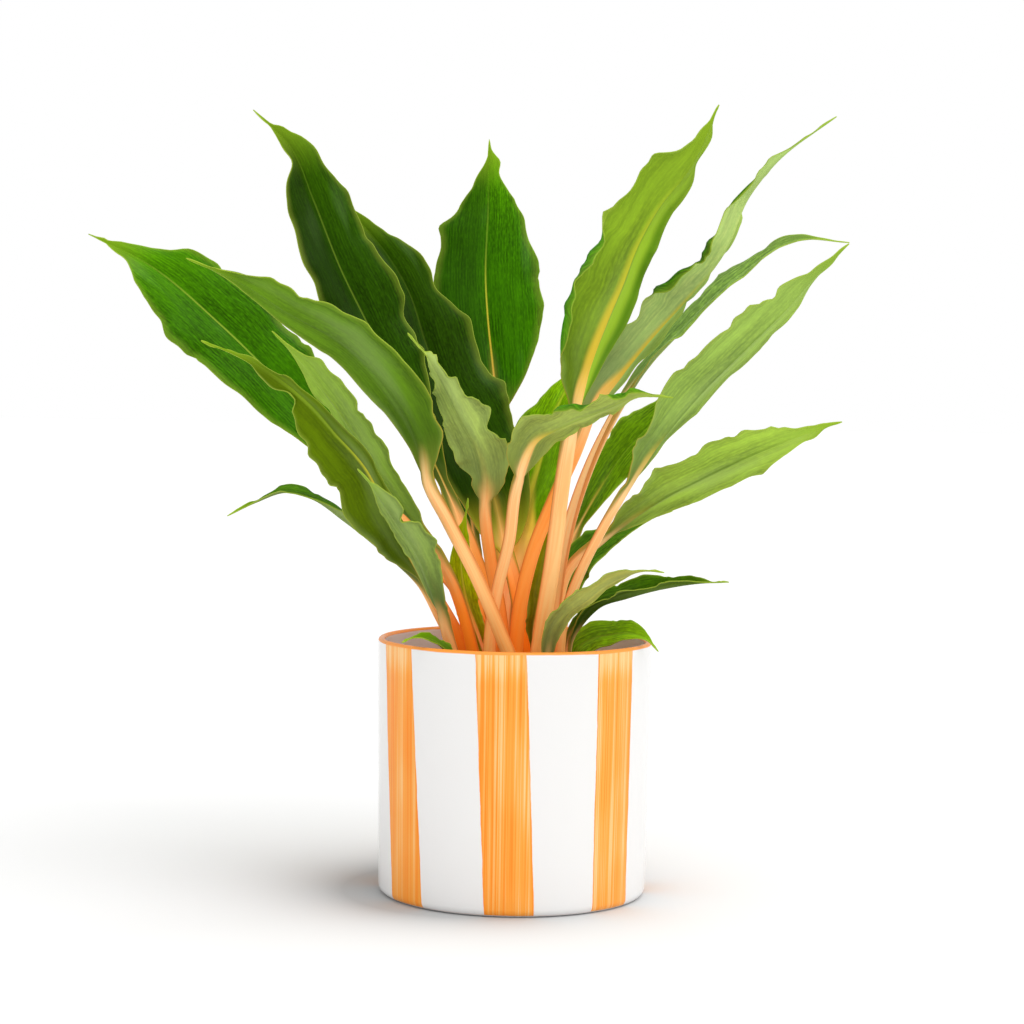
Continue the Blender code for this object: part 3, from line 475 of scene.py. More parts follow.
def leaf_surface(name, leaf, roll, rng):
    """Upper and lower points of a leaf in mm, and where each point lies on it.

    A point is the spine, plus the half width times its place across, plus a lift along the upper side:
    the fold's slope, the margin's waves times the square of the place across, an arch that is nothing at
    the midrib and the margin, and shallow pleats. Where a margin rolls or curls, the strip's own way out
    and down takes the place of the plain one across. The lower face lies the leaf's thickness below, at
    right angles to the upper one.
    """
    u = np.linspace(0, 1, STATIONS)
    line = np.linspace(-1, 1, PLACES)
    v = np.tile(0.5 * line + 0.5 * np.sin(line * np.pi / 2), (STATIONS, 1))
    centre, up, side = leaf_axes(leaf, u)
    half, blade = [values[:, None] for values in leaf_widths(leaf, u)]
    reach = np.abs(v)
    wave, outline, drift = wavy_edges(leaf, blade, v, rng)
    width = half * (1 + WANDER * drift * np.clip(4 * blade, 0, 1)) + RUFFLE * outline
    lobes = [(edge, place, LOBE_LENGTH, size) for edge, place, size in LOBES.get(name, [])]
    width = np.maximum(width + humps(lobes, 2, blade, v), LEAST_WIDTH * half)
    patches = np.sin(2 * np.pi * ROLLS * blade + np.where(v > 0, RIGHT_ROLLS, LEFT_ROLLS) + 2 * drift)
    amount = np.clip(patches, 0, 1) * np.clip(5 * blade * (1 - blade), 0, 1)
    turned_under = np.where(v > 0, roll[1], roll[0]) * amount
    out, down = rolled(v, turned_under + humps(CURLS.get(name, []), 4, blade, v))
    spread = np.where(v > 0, out.max(axis=1, keepdims=True), -out.min(axis=1, keepdims=True))
    out, down = out / spread, down / spread
    sheet = np.minimum(blade / STALK_FADE, 1)
    rib = np.exp(-((reach * width / RIB_REACH) ** 2))
    fold = math.radians(leaf.fold)
    across = width * (out * math.cos(fold) + down * np.sign(v) * math.sin(fold))
    lift = (width * (np.abs(out) * math.sin(fold) - down * math.cos(fold))
            + wave * reach**2
            + ARCH * width * np.sin(np.pi * reach) * sheet
            - GROOVE * rib * sheet
            + PLEAT_DEPTH * width**2 / leaf.half * np.cos(2 * np.pi * PLEATS * reach) * sheet)
    stalk_shape = STALK_DEPTH * leaf.stalk * np.sqrt(1 - STALK_ROUND * reach**2)
    thickness = stalk_shape * (1 - sheet) + (SHEET + KEEL * rib * (1 - blade)) * sheet
    upper = centre[:, None] + side[:, None] * across[..., None] + up[:, None] * lift[..., None]
    normal = unit(np.cross(np.gradient(upper, axis=1), np.gradient(upper, axis=0)))
    lower = upper - normal * thickness[..., None]
    length = line_length(whole_spine(leaf))
    where = {"blade": np.broadcast_to(blade, v.shape), "across": v,
             "along": (u[:, None] - leaf.start) * length + 0 * v, "width": width}
    return upper, lower, where


def leaf_object(name, leaf, roll, rng):
    """The finished leaf: its two grids closed into one thin solid, with its places as named numbers."""
    upper, lower, where = leaf_surface(name, leaf, roll, rng)
    rows, columns = upper.shape[:2]
    top = np.arange(rows * columns).reshape(rows, columns)
    rim = np.concatenate([top[:, 0], top[-1, 1:], top[-2::-1, -1], top[0, -2:0:-1]])
    rim = np.stack([rim, np.roll(rim, -1), np.roll(rim, -1) + rows * columns, rim + rows * columns], -1)
    sheet = grid_faces(rows, columns)
    faces = np.concatenate([sheet, sheet[:, ::-1] + rows * columns, rim])
    numbers = {key: np.concatenate([values.ravel(), values.ravel()]) for key, values in where.items()}
    numbers["upper"] = np.repeat([1.0, 0.0], rows * columns)
    points = np.concatenate([upper.reshape(-1, 3), lower.reshape(-1, 3)])
    return mesh_object("grown_" + name, points, faces, numbers)


print("a leaf has", 2 * STATIONS * PLACES, "points")

# %% [markdown]
# ## Materials as expressions
# A material is a network of nodes, and its sums are easier to read as sums. The first class below wraps a
# socket so that Python's own signs add Math nodes. The second holds the network, and one method of it adds
# every other kind of node. Colours are given as they look on screen and turned into the linear light that
# Blender works in.

# %% Colours and values
def colour(red, green, blue):
    """A colour given as it looks on screen, 0 to 255, as linear light."""
    screen = np.array([red, green, blue]) / 255
    linear = np.where(screen <= 0.04045, screen / 12.92, ((screen + 0.055) / 1.055) ** 2.4)
    return (*linear.tolist(), 1.0)


def sign(operation, turned=False):
    """A method for one of Python's signs: it adds a Math node. Turned, the value is the second term."""
    if turned:
        return lambda self, other: self.look.maths(operation, other, self)
    return lambda self, other: self.look.maths(operation, self, other)


class Value:
    """A socket in a material. Arithmetic on it adds Math nodes."""

    __add__, __radd__ = sign("ADD"), sign("ADD", True)
    __sub__, __rsub__ = sign("SUBTRACT"), sign("SUBTRACT", True)
    __mul__, __rmul__ = sign("MULTIPLY"), sign("MULTIPLY", True)
    __truediv__, __rtruediv__ = sign("DIVIDE"), sign("DIVIDE", True)
    __pow__, __rpow__ = sign("POWER"), sign("POWER", True)

    def __init__(self, look, socket):
        self.look = look
        self.socket = socket

    def __abs__(self):
        return self.maths("ABSOLUTE")

    def maths(self, operation, *others):
        """A Math node of that operation on this value and the others."""
        return self.look.maths(operation, self, *others)

    def step(self, low, high):
        """0 below low, 1 above high and a soft step between them. With low above high it falls."""
        return self.look.node("MapRange", {"interpolation_type": "SMOOTHSTEP"},
                              {"Value": self, "From Min": low, "From Max": high})


print("mid grey on screen is", round(colour(128, 128, 128)[0], 3), "in linear light")

# %% Looks
class Look:
    """A material under way, or a world, which is a network of the same kind."""

    def __init__(self, name, kept=bpy.data.materials):
        self.made = kept.new(name)
        self.made.use_nodes = True
        self.tree = self.made.node_tree
        self.tree.nodes.clear()

    def node(self, kind, settings=None, inputs=None, output=0):
        """Adds a node: its settings first, then values or links for its sockets. Gives an output."""
        made = self.tree.nodes.new("ShaderNode" + kind)
        for key, value in (settings or {}).items():
            setattr(made, key, value)
        for key, value in (inputs or {}).items():
            if isinstance(value, Value):
                self.tree.links.new(value.socket, made.inputs[key])
            else:
                made.inputs[key].default_value = value
        return Value(self, made.outputs[output]) if made.outputs else None

    def maths(self, operation, *terms):
        """A Math node of that operation on the terms, which are values or plain numbers."""
        return self.node("Math", {"operation": operation}, dict(enumerate(terms)))

    def mix(self, share, first, second):
        """A colour that goes from the first to the second as share goes from 0 to 1.

        Each of the two is a value, or three numbers as they look on screen.
        """
        first, second = (paint if isinstance(paint, Value) else colour(*paint) for paint in (first, second))
        return self.node("Mix", {"data_type": "RGBA"}, {0: share, 6: first, 7: second}, output=2)

    def coats(self, base, *layers):
        """The base colour with layers over it in turn, each a share from 0 to 1 and a colour."""
        for share, paint in layers:
            base = self.mix(share, base, paint)
        return base

    def number(self, name):
        """One of the numbers that the mesh holds for each point."""
        return self.node("Attribute", {"attribute_name": name}, output=2)

    def parts(self, vector):
        """A vector's x, y and z."""
        return [self.node("SeparateXYZ", {}, {0: vector}, output=axis) for axis in range(3)]

    def noise(self, place, scale=1.0, detail=1.0, rough=0.5):
        """Smooth noise from 0 to 1 at a place, which is a vector or a tuple of its three parts."""
        if isinstance(place, tuple):
            place = self.node("CombineXYZ", {}, dict(zip("XYZ", place)))
        values = {"Vector": place, "Scale": scale, "Detail": detail, "Roughness": rough}
        return self.node("TexNoise", {}, values)

    def finish(self, shade, roughness, relief=None, **inputs):
        """Ends a material in a Principled shader. relief is a bump's strength, distance and height."""
        inputs = {key.replace("_", " "): value for key, value in inputs.items()}
        if relief:
            inputs["Normal"] = self.node("Bump", {}, dict(zip(("Strength", "Distance", "Height"), relief)))
        shader = self.node("BsdfPrincipled", {}, {"Base Color": shade, "Roughness": roughness, **inputs})
        self.node("OutputMaterial", {}, {"Surface": shader})
        return self.made


print("what a look can do:", ", ".join(name for name in vars(Look) if not name.startswith("_")))

# %% [markdown]
# ## The finish of a leaf
# Three things give this plant its colours. The stalk is orange at its foot and peach higher up, and that
# colour runs on into the midrib as a wedge that turns yellow and fades. The upper side is a deep, slightly
# glossy green, the underside a paler, duller grey-green. Fine veins run the whole length side by side, and
# the margin is a thin pale line. All of it follows the leaf, so the material reads the numbers stored on
# the mesh and no picture: how far along the blade, how far across, and which side.

# %% Leaf colours
STALK_FOOT_COLOUR = (250, 122, 18)
STALK_TOP_COLOUR = (255, 215, 156)
MIDRIB_COLOUR = (238, 196, 66)
RIB_END_COLOUR = (186, 196, 50)
THIN_RIB_COLOUR = (140, 168, 50)
RIB_SHADE_COLOUR = (52, 88, 10)
MARGIN_COLOUR = (188, 208, 76)
BASE_MARGIN_COLOUR = (214, 158, 66)
FOOT_GREEN = (130, 138, 52)
YELLOW_FOOT = (186, 184, 44)
# Painted light: the bright green of an underside where the lamp is painted as shining through.
PAINTED_LIT_GREEN = (176, 216, 52)
STALK_EDGE_SHADE = (208, 108, 40)
WING_COLOUR = (122, 120, 40)
TIP_COLOUR = (140, 176, 36)
BLOOM_COLOUR = (150, 168, 112)
# Painted sheen: a pale grey-green laid in patches on the upper side, where the lamp's shine would be.
PAINTED_SHEEN_COLOUR = (112, 146, 84)
VEIN_SPACING = 1.6              # mm at the blade's widest place
PAINTED_STALK_GLOW = 0.15               # painted glow: the stalk gives off light of its own colour, for light that wanders inside a watery stalk and comes out again
STALK_ENDS = 10                 # mm up the blade where the stalk's colour ends at the midrib
ENDS_SLANT = 18                 # mm by which it ends sooner at the margins
ENDS_SOFT = 13                  # mm to either side over which it fades
WEDGE_LENGTH = 50               # mm that a wedge of it reaches up the blade
SHINE_TINT = (0.8, 1.0, 0.35, 1.0)      # the green that a leaf gives its shine, as linear light
print("stalks from", STALK_TOP_COLOUR, "to", STALK_FOOT_COLOUR)

# %% A colour scheme for each leaf
# For each leaf: the colour of its upper side and of its underside, on screen; how far up the blade the yellow
# of its midrib runs, and half its width in mm; how much of the blade's foot its wedge of stalk colour covers;
# how pale the line of its midrib is beyond that, or with a minus, how dark the painted shade along it is; how
# orange its stalk is, from 0 for the palest to 1; and how far its margins roll under, in radians.
# The greens are set leaf by leaf to how light or dark each leaf looks, so part of their difference is painted
# light and shade: leaves that stand in shade have darker greens.
Tones = namedtuple("Tones", "upper_green under_green rib_reach rib_half wedge thin_rib orange roll")
TONES = {
    "leaf_far_left": ((41, 90, 2), (120, 150, 60), 0.22, 0.5, 0.06, 0.9, 0.5, (0.3, 0)),
    "leaf_left_high": ((50, 100, 4), (90, 130, 30), 0, 0.3, 0, -0.1, 0.15, (0.3, 0.2)),
    "leaf_left_middle": ((60, 110, 4), (140, 174, 70), 0, 0.3, 0, 0.35, 0.9, (0, 0.4)),
    "leaf_left_broad": ((60, 110, 4), (84, 110, 8), 0.6, 0.6, 0.06, 0.5, 0.8, (0.3, 0.8)),
    "leaf_left_front": ((60, 110, 4), (130, 156, 80), 0, 0.3, 0, -0.2, 0.3, (0, 0.9)),
    "leaf_left_low": ((54, 94, 10), (120, 142, 76), 0.1, 0.3, 0, 0.2, 0.2, (0.6, 0.6)),
    "leaf_upper_left": ((27, 58, 1), (110, 145, 50), 0.2, 0.4, 0.05, 0.35, 0.7, (0.2, 0)),
    "leaf_upper_left_dark": ((27, 55, 1), (100, 135, 45), 0.1, 0.9, 0.12, 0.12, 0.9, (0.2, 0)),
    "leaf_centre_rear": ((40, 91, 1), (110, 145, 50), 0.62, 0.5, 0.1, 0.4, 0.6, (0, 0)),
    "leaf_front_centre": ((50, 100, 10), (164, 186, 102), 0, 0.5, 0.04, -0.1, 0.6, (0.4, 0.6)),
    "leaf_front_right": ((55, 108, 16), (162, 180, 90), 0.4, 1.9, 0.22, 0.35, 0.1, (0.7, 0.4)),
    "leaf_upper_right": ((44, 110, 4), (128, 162, 42), 0.8, 2.3, 0.5, 0.2, 0.15, (0.2, 1.6)),
    "leaf_right_tall": ((44, 90, 6), (182, 212, 128), 0.55, 1.2, 0.45, 0.2, 0.72, (0.6, 1.6)),
    "leaf_right_narrow": ((106, 138, 70), (170, 200, 110), 0, 0.5, 0.1, -0.1, 0, (0.5, 0.4)),
    "leaf_right_broad": ((60, 112, 20), (144, 176, 84), 0.1, 0.7, 0.2, -0.3, 0.1, (0.2, 0.5)),
    "leaf_right_bright": ((80, 135, 20), (152, 186, 72), 0.1, 0.5, 0.1, -0.5, 0.1, (0, 0.3)),
    "leaf_right_under": ((56, 98, 20), (130, 165, 80), 0.15, 0.7, 0.2, 0.2, 0.2, (0.6, 0.4)),
    "leaf_inner_right": ((84, 128, 4), (140, 160, 60), 0.95, 3.4, 1.6, 0.3, 0.3, (0, 0)),
    "leaf_right_dark": ((74, 110, 8), (120, 145, 60), 0.1, 0.6, 0.15, 0.2, 0.6, (0.2, 0.2)),
    "leaf_small_pale": ((60, 105, 16), (172, 174, 90), 0, 0.3, 0, -0.1, 0.1, (0.3, 0.6)),
    "leaf_small_folded": ((52, 90, 6), (70, 98, 18), 0, 0.4, 0, 0.1, 0.1, (0.2, 0.2)),
    "leaf_over_right_rim": ((104, 152, 20), (130, 155, 60), 0, 0.4, 0, 0.6, 0.2, (0, 0)),
    "leaf_over_left_rim": ((78, 120, 6), (130, 155, 60), 0, 0.3, 0, 0.4, 0.2, (0, 0)),
    "leaf_rear_centre": ((44, 92, 2), (118, 150, 56), 0.5, 0.6, 0.15, 0.3, 0.6, (0.3, 0.3)),
    "leaf_rear_left": ((48, 96, 2), (118, 150, 56), 0.5, 0.6, 0.15, 0.3, 0.6, (0.4, 0.3)),
    "leaf_rear_right": ((48, 96, 2), (124, 156, 56), 0.5, 0.6, 0.15, 0.3, 0.5, (0.3, 0.4)),
    "leaf_young_left": ((136, 156, 6), (150, 165, 20), 0.9, 0.8, 0.3, 0.4, 0.6, (0, 0)),
    "leaf_young_right": ((120, 146, 6), (140, 160, 20), 0.8, 0.8, 0.3, 0.4, 0.5, (0, 0)),
}
TONES = {name: Tones(*row) for name, row in TONES.items()}
# Painted light: how much brighter the right half of the underside is painted, as if the lamp shone through
# the blade, as far as its dark edge, which takes the green of the upper side.
PAINTED_SHINE_THROUGH = {"leaf_upper_right": 0.75, "leaf_right_tall": 0.3}
# Painted shade: the share by which the left half is painted darker, as if it lost that much of the lamp's
# light, on leaves that face left of the lamp.
LEFT_HALF_PAINTED_SHADE = {"leaf_upper_left": 0.6, "leaf_centre_rear": 0.6, "leaf_upper_left_dark": 0.5}
YELLOW_FOOTED = ("leaf_upper_left_dark", "leaf_inner_right", "leaf_young_left")
print(len(TONES), "leaf finishes")

# %% Where a point lies on its leaf
class OnLeaf:
    """Where a point lies on its leaf: the numbers that the mesh holds, and what follows from them.

    Places among the veins draw together at the leaf's ends, where the width falls, as real veins do.
    """

    def __init__(self, look, leaf):
        self.look = look
        numbers = ("blade", "across", "along", "width", "upper")
        self.blade, self.across, self.along, self.width, self.upper = map(look.number, numbers)
        self.reach = abs(self.across)               # 0 at the midrib, 1 at the margin
        self.out = self.reach * self.width          # mm from the midrib
        self.among_veins = self.across * self.width**0.8 * leaf.half**0.2
        self.roomy = self.width.step(1.5, 8.0)      # 0 on a stalk, 1 where a blade has room for veins

    def grain(self, across, along, seed=0, detail=1.0, rough=0.5):
        """Noise that is drawn out along the leaf and differs on its two sides."""
        return self.look.noise((across, self.along * along, self.upper * 9 + seed), 1.0, detail, rough)


print("veins are", VEIN_SPACING, "mm apart where a blade is widest")

# %% The blade's greens
def blend(share, first, second):
    """A screen colour between two others, worked out in Python."""
    return tuple(a + (b - a) * share for a, b in zip(first, second))


def shaded(green, factor, yellow=0.0):
    """A green made darker or lighter by a factor, and yellower by a share."""
    red, leafy, blue = (min(part * factor, 255) for part in green)
    return red + yellow * (leafy - red), leafy, blue * (1 - yellow)


def lined_green(look, green, share, lines):
    """A green that is darker or lighter by a share, with fine pale lines drawn over it."""
    dark, pale, line = shaded(green, 0.80), shaded(green, 1.20, 0.05), shaded(green, 1.45, 0.12)
    return look.coats(dark, (share, pale), (lines, line))


def blade_greens(look, at, name, hairs, streaks):
    """The green of both sides, with its margins.

    Veins are a cosine of the place among them. Hairs, streaks and dashes are noise on it, drawn out along the
    leaf, and patches, bloom and a painted sheen, pale patches that stand for the lamp's shine on the upper
    side, are broader noise.
    """
    upper_green, under_green = TONES[name].upper_green, TONES[name].under_green
    patches = at.grain(at.across * 1.4, 0.014, 4).step(0.32, 0.68)
    share = patches * 0.55 + streaks * 0.30
    veins = (at.among_veins * (2 * math.pi / VEIN_SPACING)).maths("COSINE") * 0.5 + 0.5
    dashes = at.grain(at.among_veins * 1.6, 0.30, 2).step(0.42, 0.66)
    lines = (hairs.step(0.44, 0.62) * 0.35 + veins * 0.25 + dashes * 0.45) * at.roomy
    # painted sheen: broad noise that places pale shine patches on the upper side
    painted_sheen = at.grain(at.among_veins * 0.07 + 3, 0.018)
    bloom = at.grain(at.across * 1.1 + 7, 0.010)
    top = look.coats(
        lined_green(look, upper_green, share, lines),
        # painted light: the upper side is painted lighter and yellower towards the tip
        (at.blade.step(0.60, 1.0), lined_green(look, shaded(upper_green, 1.28, 0.12), share, lines)),
        (painted_sheen.step(0.58, 0.80) * 0.20, PAINTED_SHEEN_COLOUR),
        # painted shade: the left half of the upper side is painted darker
        (at.across.step(0.15, -0.30) * LEFT_HALF_PAINTED_SHADE.get(name, 0.1), shaded(upper_green, 0.62)))
    painted_shine = at.blade.step(0.85, 0.55) * PAINTED_SHINE_THROUGH.get(name, 0.0)
    under = look.coats(
        lined_green(look, shaded(under_green, 0.94), share, lines * 0.30),
        # painted shade and light: the underside is painted darker towards its foot and lighter towards its
        # tip
        (at.blade.step(0.40, 0.05) * 0.7, shaded(under_green, 0.72)),
        (at.blade.step(0.65, 0.95) * 0.5, shaded(under_green, 1.16, 0.05)),
        (bloom.step(0.45, 0.70) * 0.30, BLOOM_COLOUR),
        # painted light: the right half of the underside is painted brighter, its outer edge the upper side's
        # deep green
        (at.across.step(0.0, -0.25) * painted_shine, PAINTED_LIT_GREEN),
        (at.across.step(-0.45, -0.90) * painted_shine, upper_green))
    margin = look.mix(at.blade.step(0.35, 0.05), MARGIN_COLOUR, BASE_MARGIN_COLOUR)
    return look.coats(
        under,
        (at.upper, top),
        (at.blade.step(0.80, 1.0) * 0.8, TIP_COLOUR),
        (at.reach.step(0.80, 1.0) * 0.18, MARGIN_COLOUR),
        (at.blade.step(0.16, 0.0) * 0.7, YELLOW_FOOT if name in YELLOW_FOOTED else FOOT_GREEN),
        ((at.width - at.out).step(0.50, 0.15) * 0.42, margin))


print("a darker green:", [round(part) for part in shaded(TONES["leaf_far_left"].upper_green, 0.8)])

# %% The stalk's orange
def stalk_colour(look, at, leaf, orange):
    """Orange at the foot and peach higher up, with painted shade at its edges, then the midrib's yellow on
    the blade.
    """
    foot, middle = (blend(least + more * orange, STALK_TOP_COLOUR, STALK_FOOT_COLOUR)
                    for least, more in ((0.38, 0.62), (0.08, 0.66)))
    from_foot = at.along + line_length(whole_spine(leaf)) * leaf.start
    fibres = at.grain(at.among_veins * 1.6, 0.02, detail=2.0)
    rib = look.mix(at.blade.step(0.15, 0.65), MIDRIB_COLOUR, RIB_END_COLOUR)
    wing = at.reach.step(0.80, 0.98) * at.along.step(-70, -5)
    return look.coats(
        foot,
        (from_foot.step(20, 95), middle),
        (at.along.step(-30, 5) * 0.45, STALK_TOP_COLOUR),
        (fibres.step(0.40, 0.62) * 0.28, STALK_FOOT_COLOUR),
        # painted shade: the stalk's sides are painted darker
        (at.reach.step(0.50, 1.0) * 0.75, STALK_EDGE_SHADE),
        (at.along.step(3, 46), rib),
        (wing * (0.3 + 0.5 * orange), WING_COLOUR))


def stalk_shares(at, tones):
    """How much the stalk's colour covers a point, and how much the yellow line along the rib does.

    The stalk's colour covers the green where the place across is less than a wedge that narrows up the
    blade. The yellow line runs on from there, a fixed width in mm that thins and fades.
    """
    stalk_end = (at.along + at.reach * ENDS_SLANT - STALK_ENDS).step(-ENDS_SOFT, ENDS_SOFT)
    length = WEDGE_LENGTH * max(tones.wedge, 1.0)
    wedge = (1 - at.along.step(0, length)) * (tones.wedge * 0.9) - at.reach
    wedge = wedge.step(-0.14, 0.10) * at.along.step(length, length / 2) * min(tones.wedge * 3, 1.0)
    line_half = at.blade.step(max(tones.rib_reach, 0.05), 0.0) * (tones.rib_half - 0.3) + 0.3
    soft = 0.25 + 0.35 * tones.rib_half
    line = (at.out - line_half).step(soft, -soft) * (at.blade - tones.rib_reach).step(0.04, -0.22) * 0.9
    return 1 - stalk_end * (1 - wedge), line


def leaf_material(name, leaf):
    """The finish of one leaf: its greens, a thin line on the rib, and the stalk's colour over both."""
    tones = TONES[name]
    look = Look(name + "_skin")
    at = OnLeaf(look, leaf)
    hairs = at.grain(at.among_veins * 0.75, 0.05, rough=0.6)
    streaks = at.grain(at.among_veins * 0.26, 0.014).step(0.32, 0.68)
    stalk = stalk_colour(look, at, leaf, tones.orange)
    stalk_share, yellow_line = stalk_shares(at, tones)
    thin_line = (at.out - 0.30).step(0.45, -0.15) * at.blade.step(0.95, 0.6)
    shade = look.coats(
        blade_greens(look, at, name, hairs, streaks),
        # with a minus, the midrib's line is painted shade along the groove; otherwise it is the rib's own
        # pale colour
        (thin_line * abs(tones.thin_rib), THIN_RIB_COLOUR if tones.thin_rib > 0 else RIB_SHADE_COLOUR),
        (yellow_line, stalk),
        (stalk_share, stalk))
    # painted glow: the stalk and the rib's yellow line give off light of their own colour
    painted_glow = look.mix(stalk_share.maths("MAXIMUM", yellow_line * 0.6), (0, 0, 0), stalk)
    relief = (0.25, 0.0003, hairs * at.roomy + streaks * 0.5)
    roughness = 0.58 - at.upper * 0.16 + hairs * 0.10
    return look.finish(shade, roughness, relief, Specular_IOR_Level=0.05, Specular_Tint=SHINE_TINT,
                       Emission_Color=painted_glow, Emission_Strength=PAINTED_STALK_GLOW)


print("half way from peach to orange:", blend(0.5, STALK_TOP_COLOUR, STALK_FOOT_COLOUR))

# %% Build the leaves
for number, (name, leaf) in enumerate(LEAVES.items()):
    piece = leaf_object(name, leaf, TONES[name].roll, np.random.default_rng(number))
    piece.data.materials.append(leaf_material(name, leaf))
    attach(piece, "root")
    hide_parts(name)

# %% [markdown]
# ## The pot
# A straight ceramic pot is cast, dipped in white glaze and painted by hand. Its shape is one outline
# turned about the axis. A Screw modifier would give a perfect cylinder, but a hand-made wall is never quite
# round, so the outline is carried round on a grid here and the radius wanders by a fraction of a
# millimetre. Its height and width are read from the solid pot that it stands for.

# %% Turned pieces
def turned(outline, angles):
    """The outline carried round the axis: a grid of points, places along the outline by angles."""
    radius, height = outline[:, :1], outline[:, 1:]
    return np.stack([radius * np.cos(angles), radius * np.sin(angles), height + 0 * angles], axis=-1)


def turned_object(name, points):
    """An object from turned points. Those on the axis are merged, so the surface has no slit there."""
    rings = grid_faces(*points.shape[:2], ring=True)[:, ::-1]
    piece = mesh_object(name, points.reshape(-1, 3), rings)
    mesh = bmesh.new()
    mesh.from_mesh(piece.data)
    poles = [point for point in mesh.verts if point.co.xy.length < 1e-6]
    bmesh.ops.remove_doubles(mesh, verts=poles, dist=1e-6)
    mesh.to_mesh(piece.data)
    mesh.free()
    return piece


def full_turn(steps):
    """Angles all round the axis, in radians."""
    return np.linspace(0, 2 * np.pi, steps, endpoint=False)


print("a turn in four:", full_turn(4).round(2))

# %% The pot's shape
POT_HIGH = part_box("pot")[1]
POT_HEIGHT = POT_HIGH.z / MM
RIM_RADIUS = POT_HIGH.x / MM
FOOT_RADIUS = RIM_RADIUS - 1.6  # the wall draws in a little towards the foot
WALL = 3.5                      # thickness, mm
FLOOR_THICKNESS = 7.0
FOOT_EDGE = 4.0                 # radius of the rounded bottom edge
OUT_OF_ROUND = 0.15             # how far the wall wanders, mm
# Its waves: how many go round, how far they lean over the height, where they begin and how high they are.
WALL_WAVES = [(2, 0, 0.7, 1), (3, 5, 0, 0.6), (7, -9, 0, 0.4)]


def arc(centre, radius, start, end, points):
    """Points of an arc in an outline, angles in degrees from outwards towards up."""
    angles = np.radians(np.linspace(start, end, points))
    return np.stack([centre[0] + radius * np.cos(angles), centre[1] + radius * np.sin(angles)], axis=-1)


def pot_outline():
    """Radius and height from the middle of the floor inside, up over the lip, down and under the foot."""
    inner_foot = FOOT_RADIUS - WALL
    corner = arc((inner_foot - FOOT_EDGE, FLOOR_THICKNESS + FOOT_EDGE), FOOT_EDGE, -90, 0, 6)
    lip = arc((RIM_RADIUS - WALL / 2, POT_HEIGHT - WALL / 2), WALL / 2, 180, 0, 13)
    edge = arc((FOOT_RADIUS - FOOT_EDGE, FOOT_EDGE), FOOT_EDGE, 0, -90, 9)
    floor = np.linspace((0, FLOOR_THICKNESS), corner[0], 9)[:-1]
    rise = np.linspace(corner[-1], lip[0], 30)[1:-1]
    fall = np.linspace(lip[-1], edge[0], 44)[1:-1]
    under = np.linspace(edge[-1], (0, 0), 12)[1:]
    return np.concatenate([floor, corner, rise, lip, fall, edge, under])


angle = full_turn(256)
points = turned(pot_outline(), angle)
heights = points[..., 2] / POT_HEIGHT
wobble = sum(size * np.sin(count * angle + lean * heights + start)
             for count, lean, start, size in WALL_WAVES) / 2
radius = np.hypot(points[..., 0], points[..., 1])
inward = OUT_OF_ROUND * (wobble - 1) * np.clip(radius / RIM_RADIUS, 0, 1) ** 4
points[..., :2] *= ((radius + inward) / np.maximum(radius, 1e-9))[..., None]
pot = turned_object("glazed_pot", points)
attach(pot, "root")
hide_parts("pot")
print("pot:", len(pot.data.vertices), "points")

# %% [markdown]
# ## White glaze and brushed stripes
# Each stripe is one pull of a wide flat brush from the lip to the foot. It leaves fine hair lines, thin
# where the brush ran dry and deep where the colour pooled along its edges. The stripes are not quite
# upright and their edges tremble. Nothing about that needs a picture: the angle round the pot tells which
# stripe a point is in and how far across it, and noise that hardly changes with height draws the hairs.

# %% Glaze material
# For each stripe: its angle at the top and at the foot of the wall, in degrees. 0 faces the viewer.
STRIPES = [(-160.3, -156.0), (-108.9, -104.0), (-57.5, -50.4), (-5.8, -0.9), (46.1, 46.1), (97.0, 99.0),
           (148.0, 151.0)]
STRIPE_HALF = 10.4              # half width of a stripe, degrees
WHITE = (236, 235, 234)
PAINT_DEEP = (252, 138, 20)
PAINT = (253, 166, 60)
PAINT_THIN = (254, 206, 140)
LIP_PAINT = (254, 158, 66)
LIP_HEIGHT = 128.5              # where the painted lip begins, mm


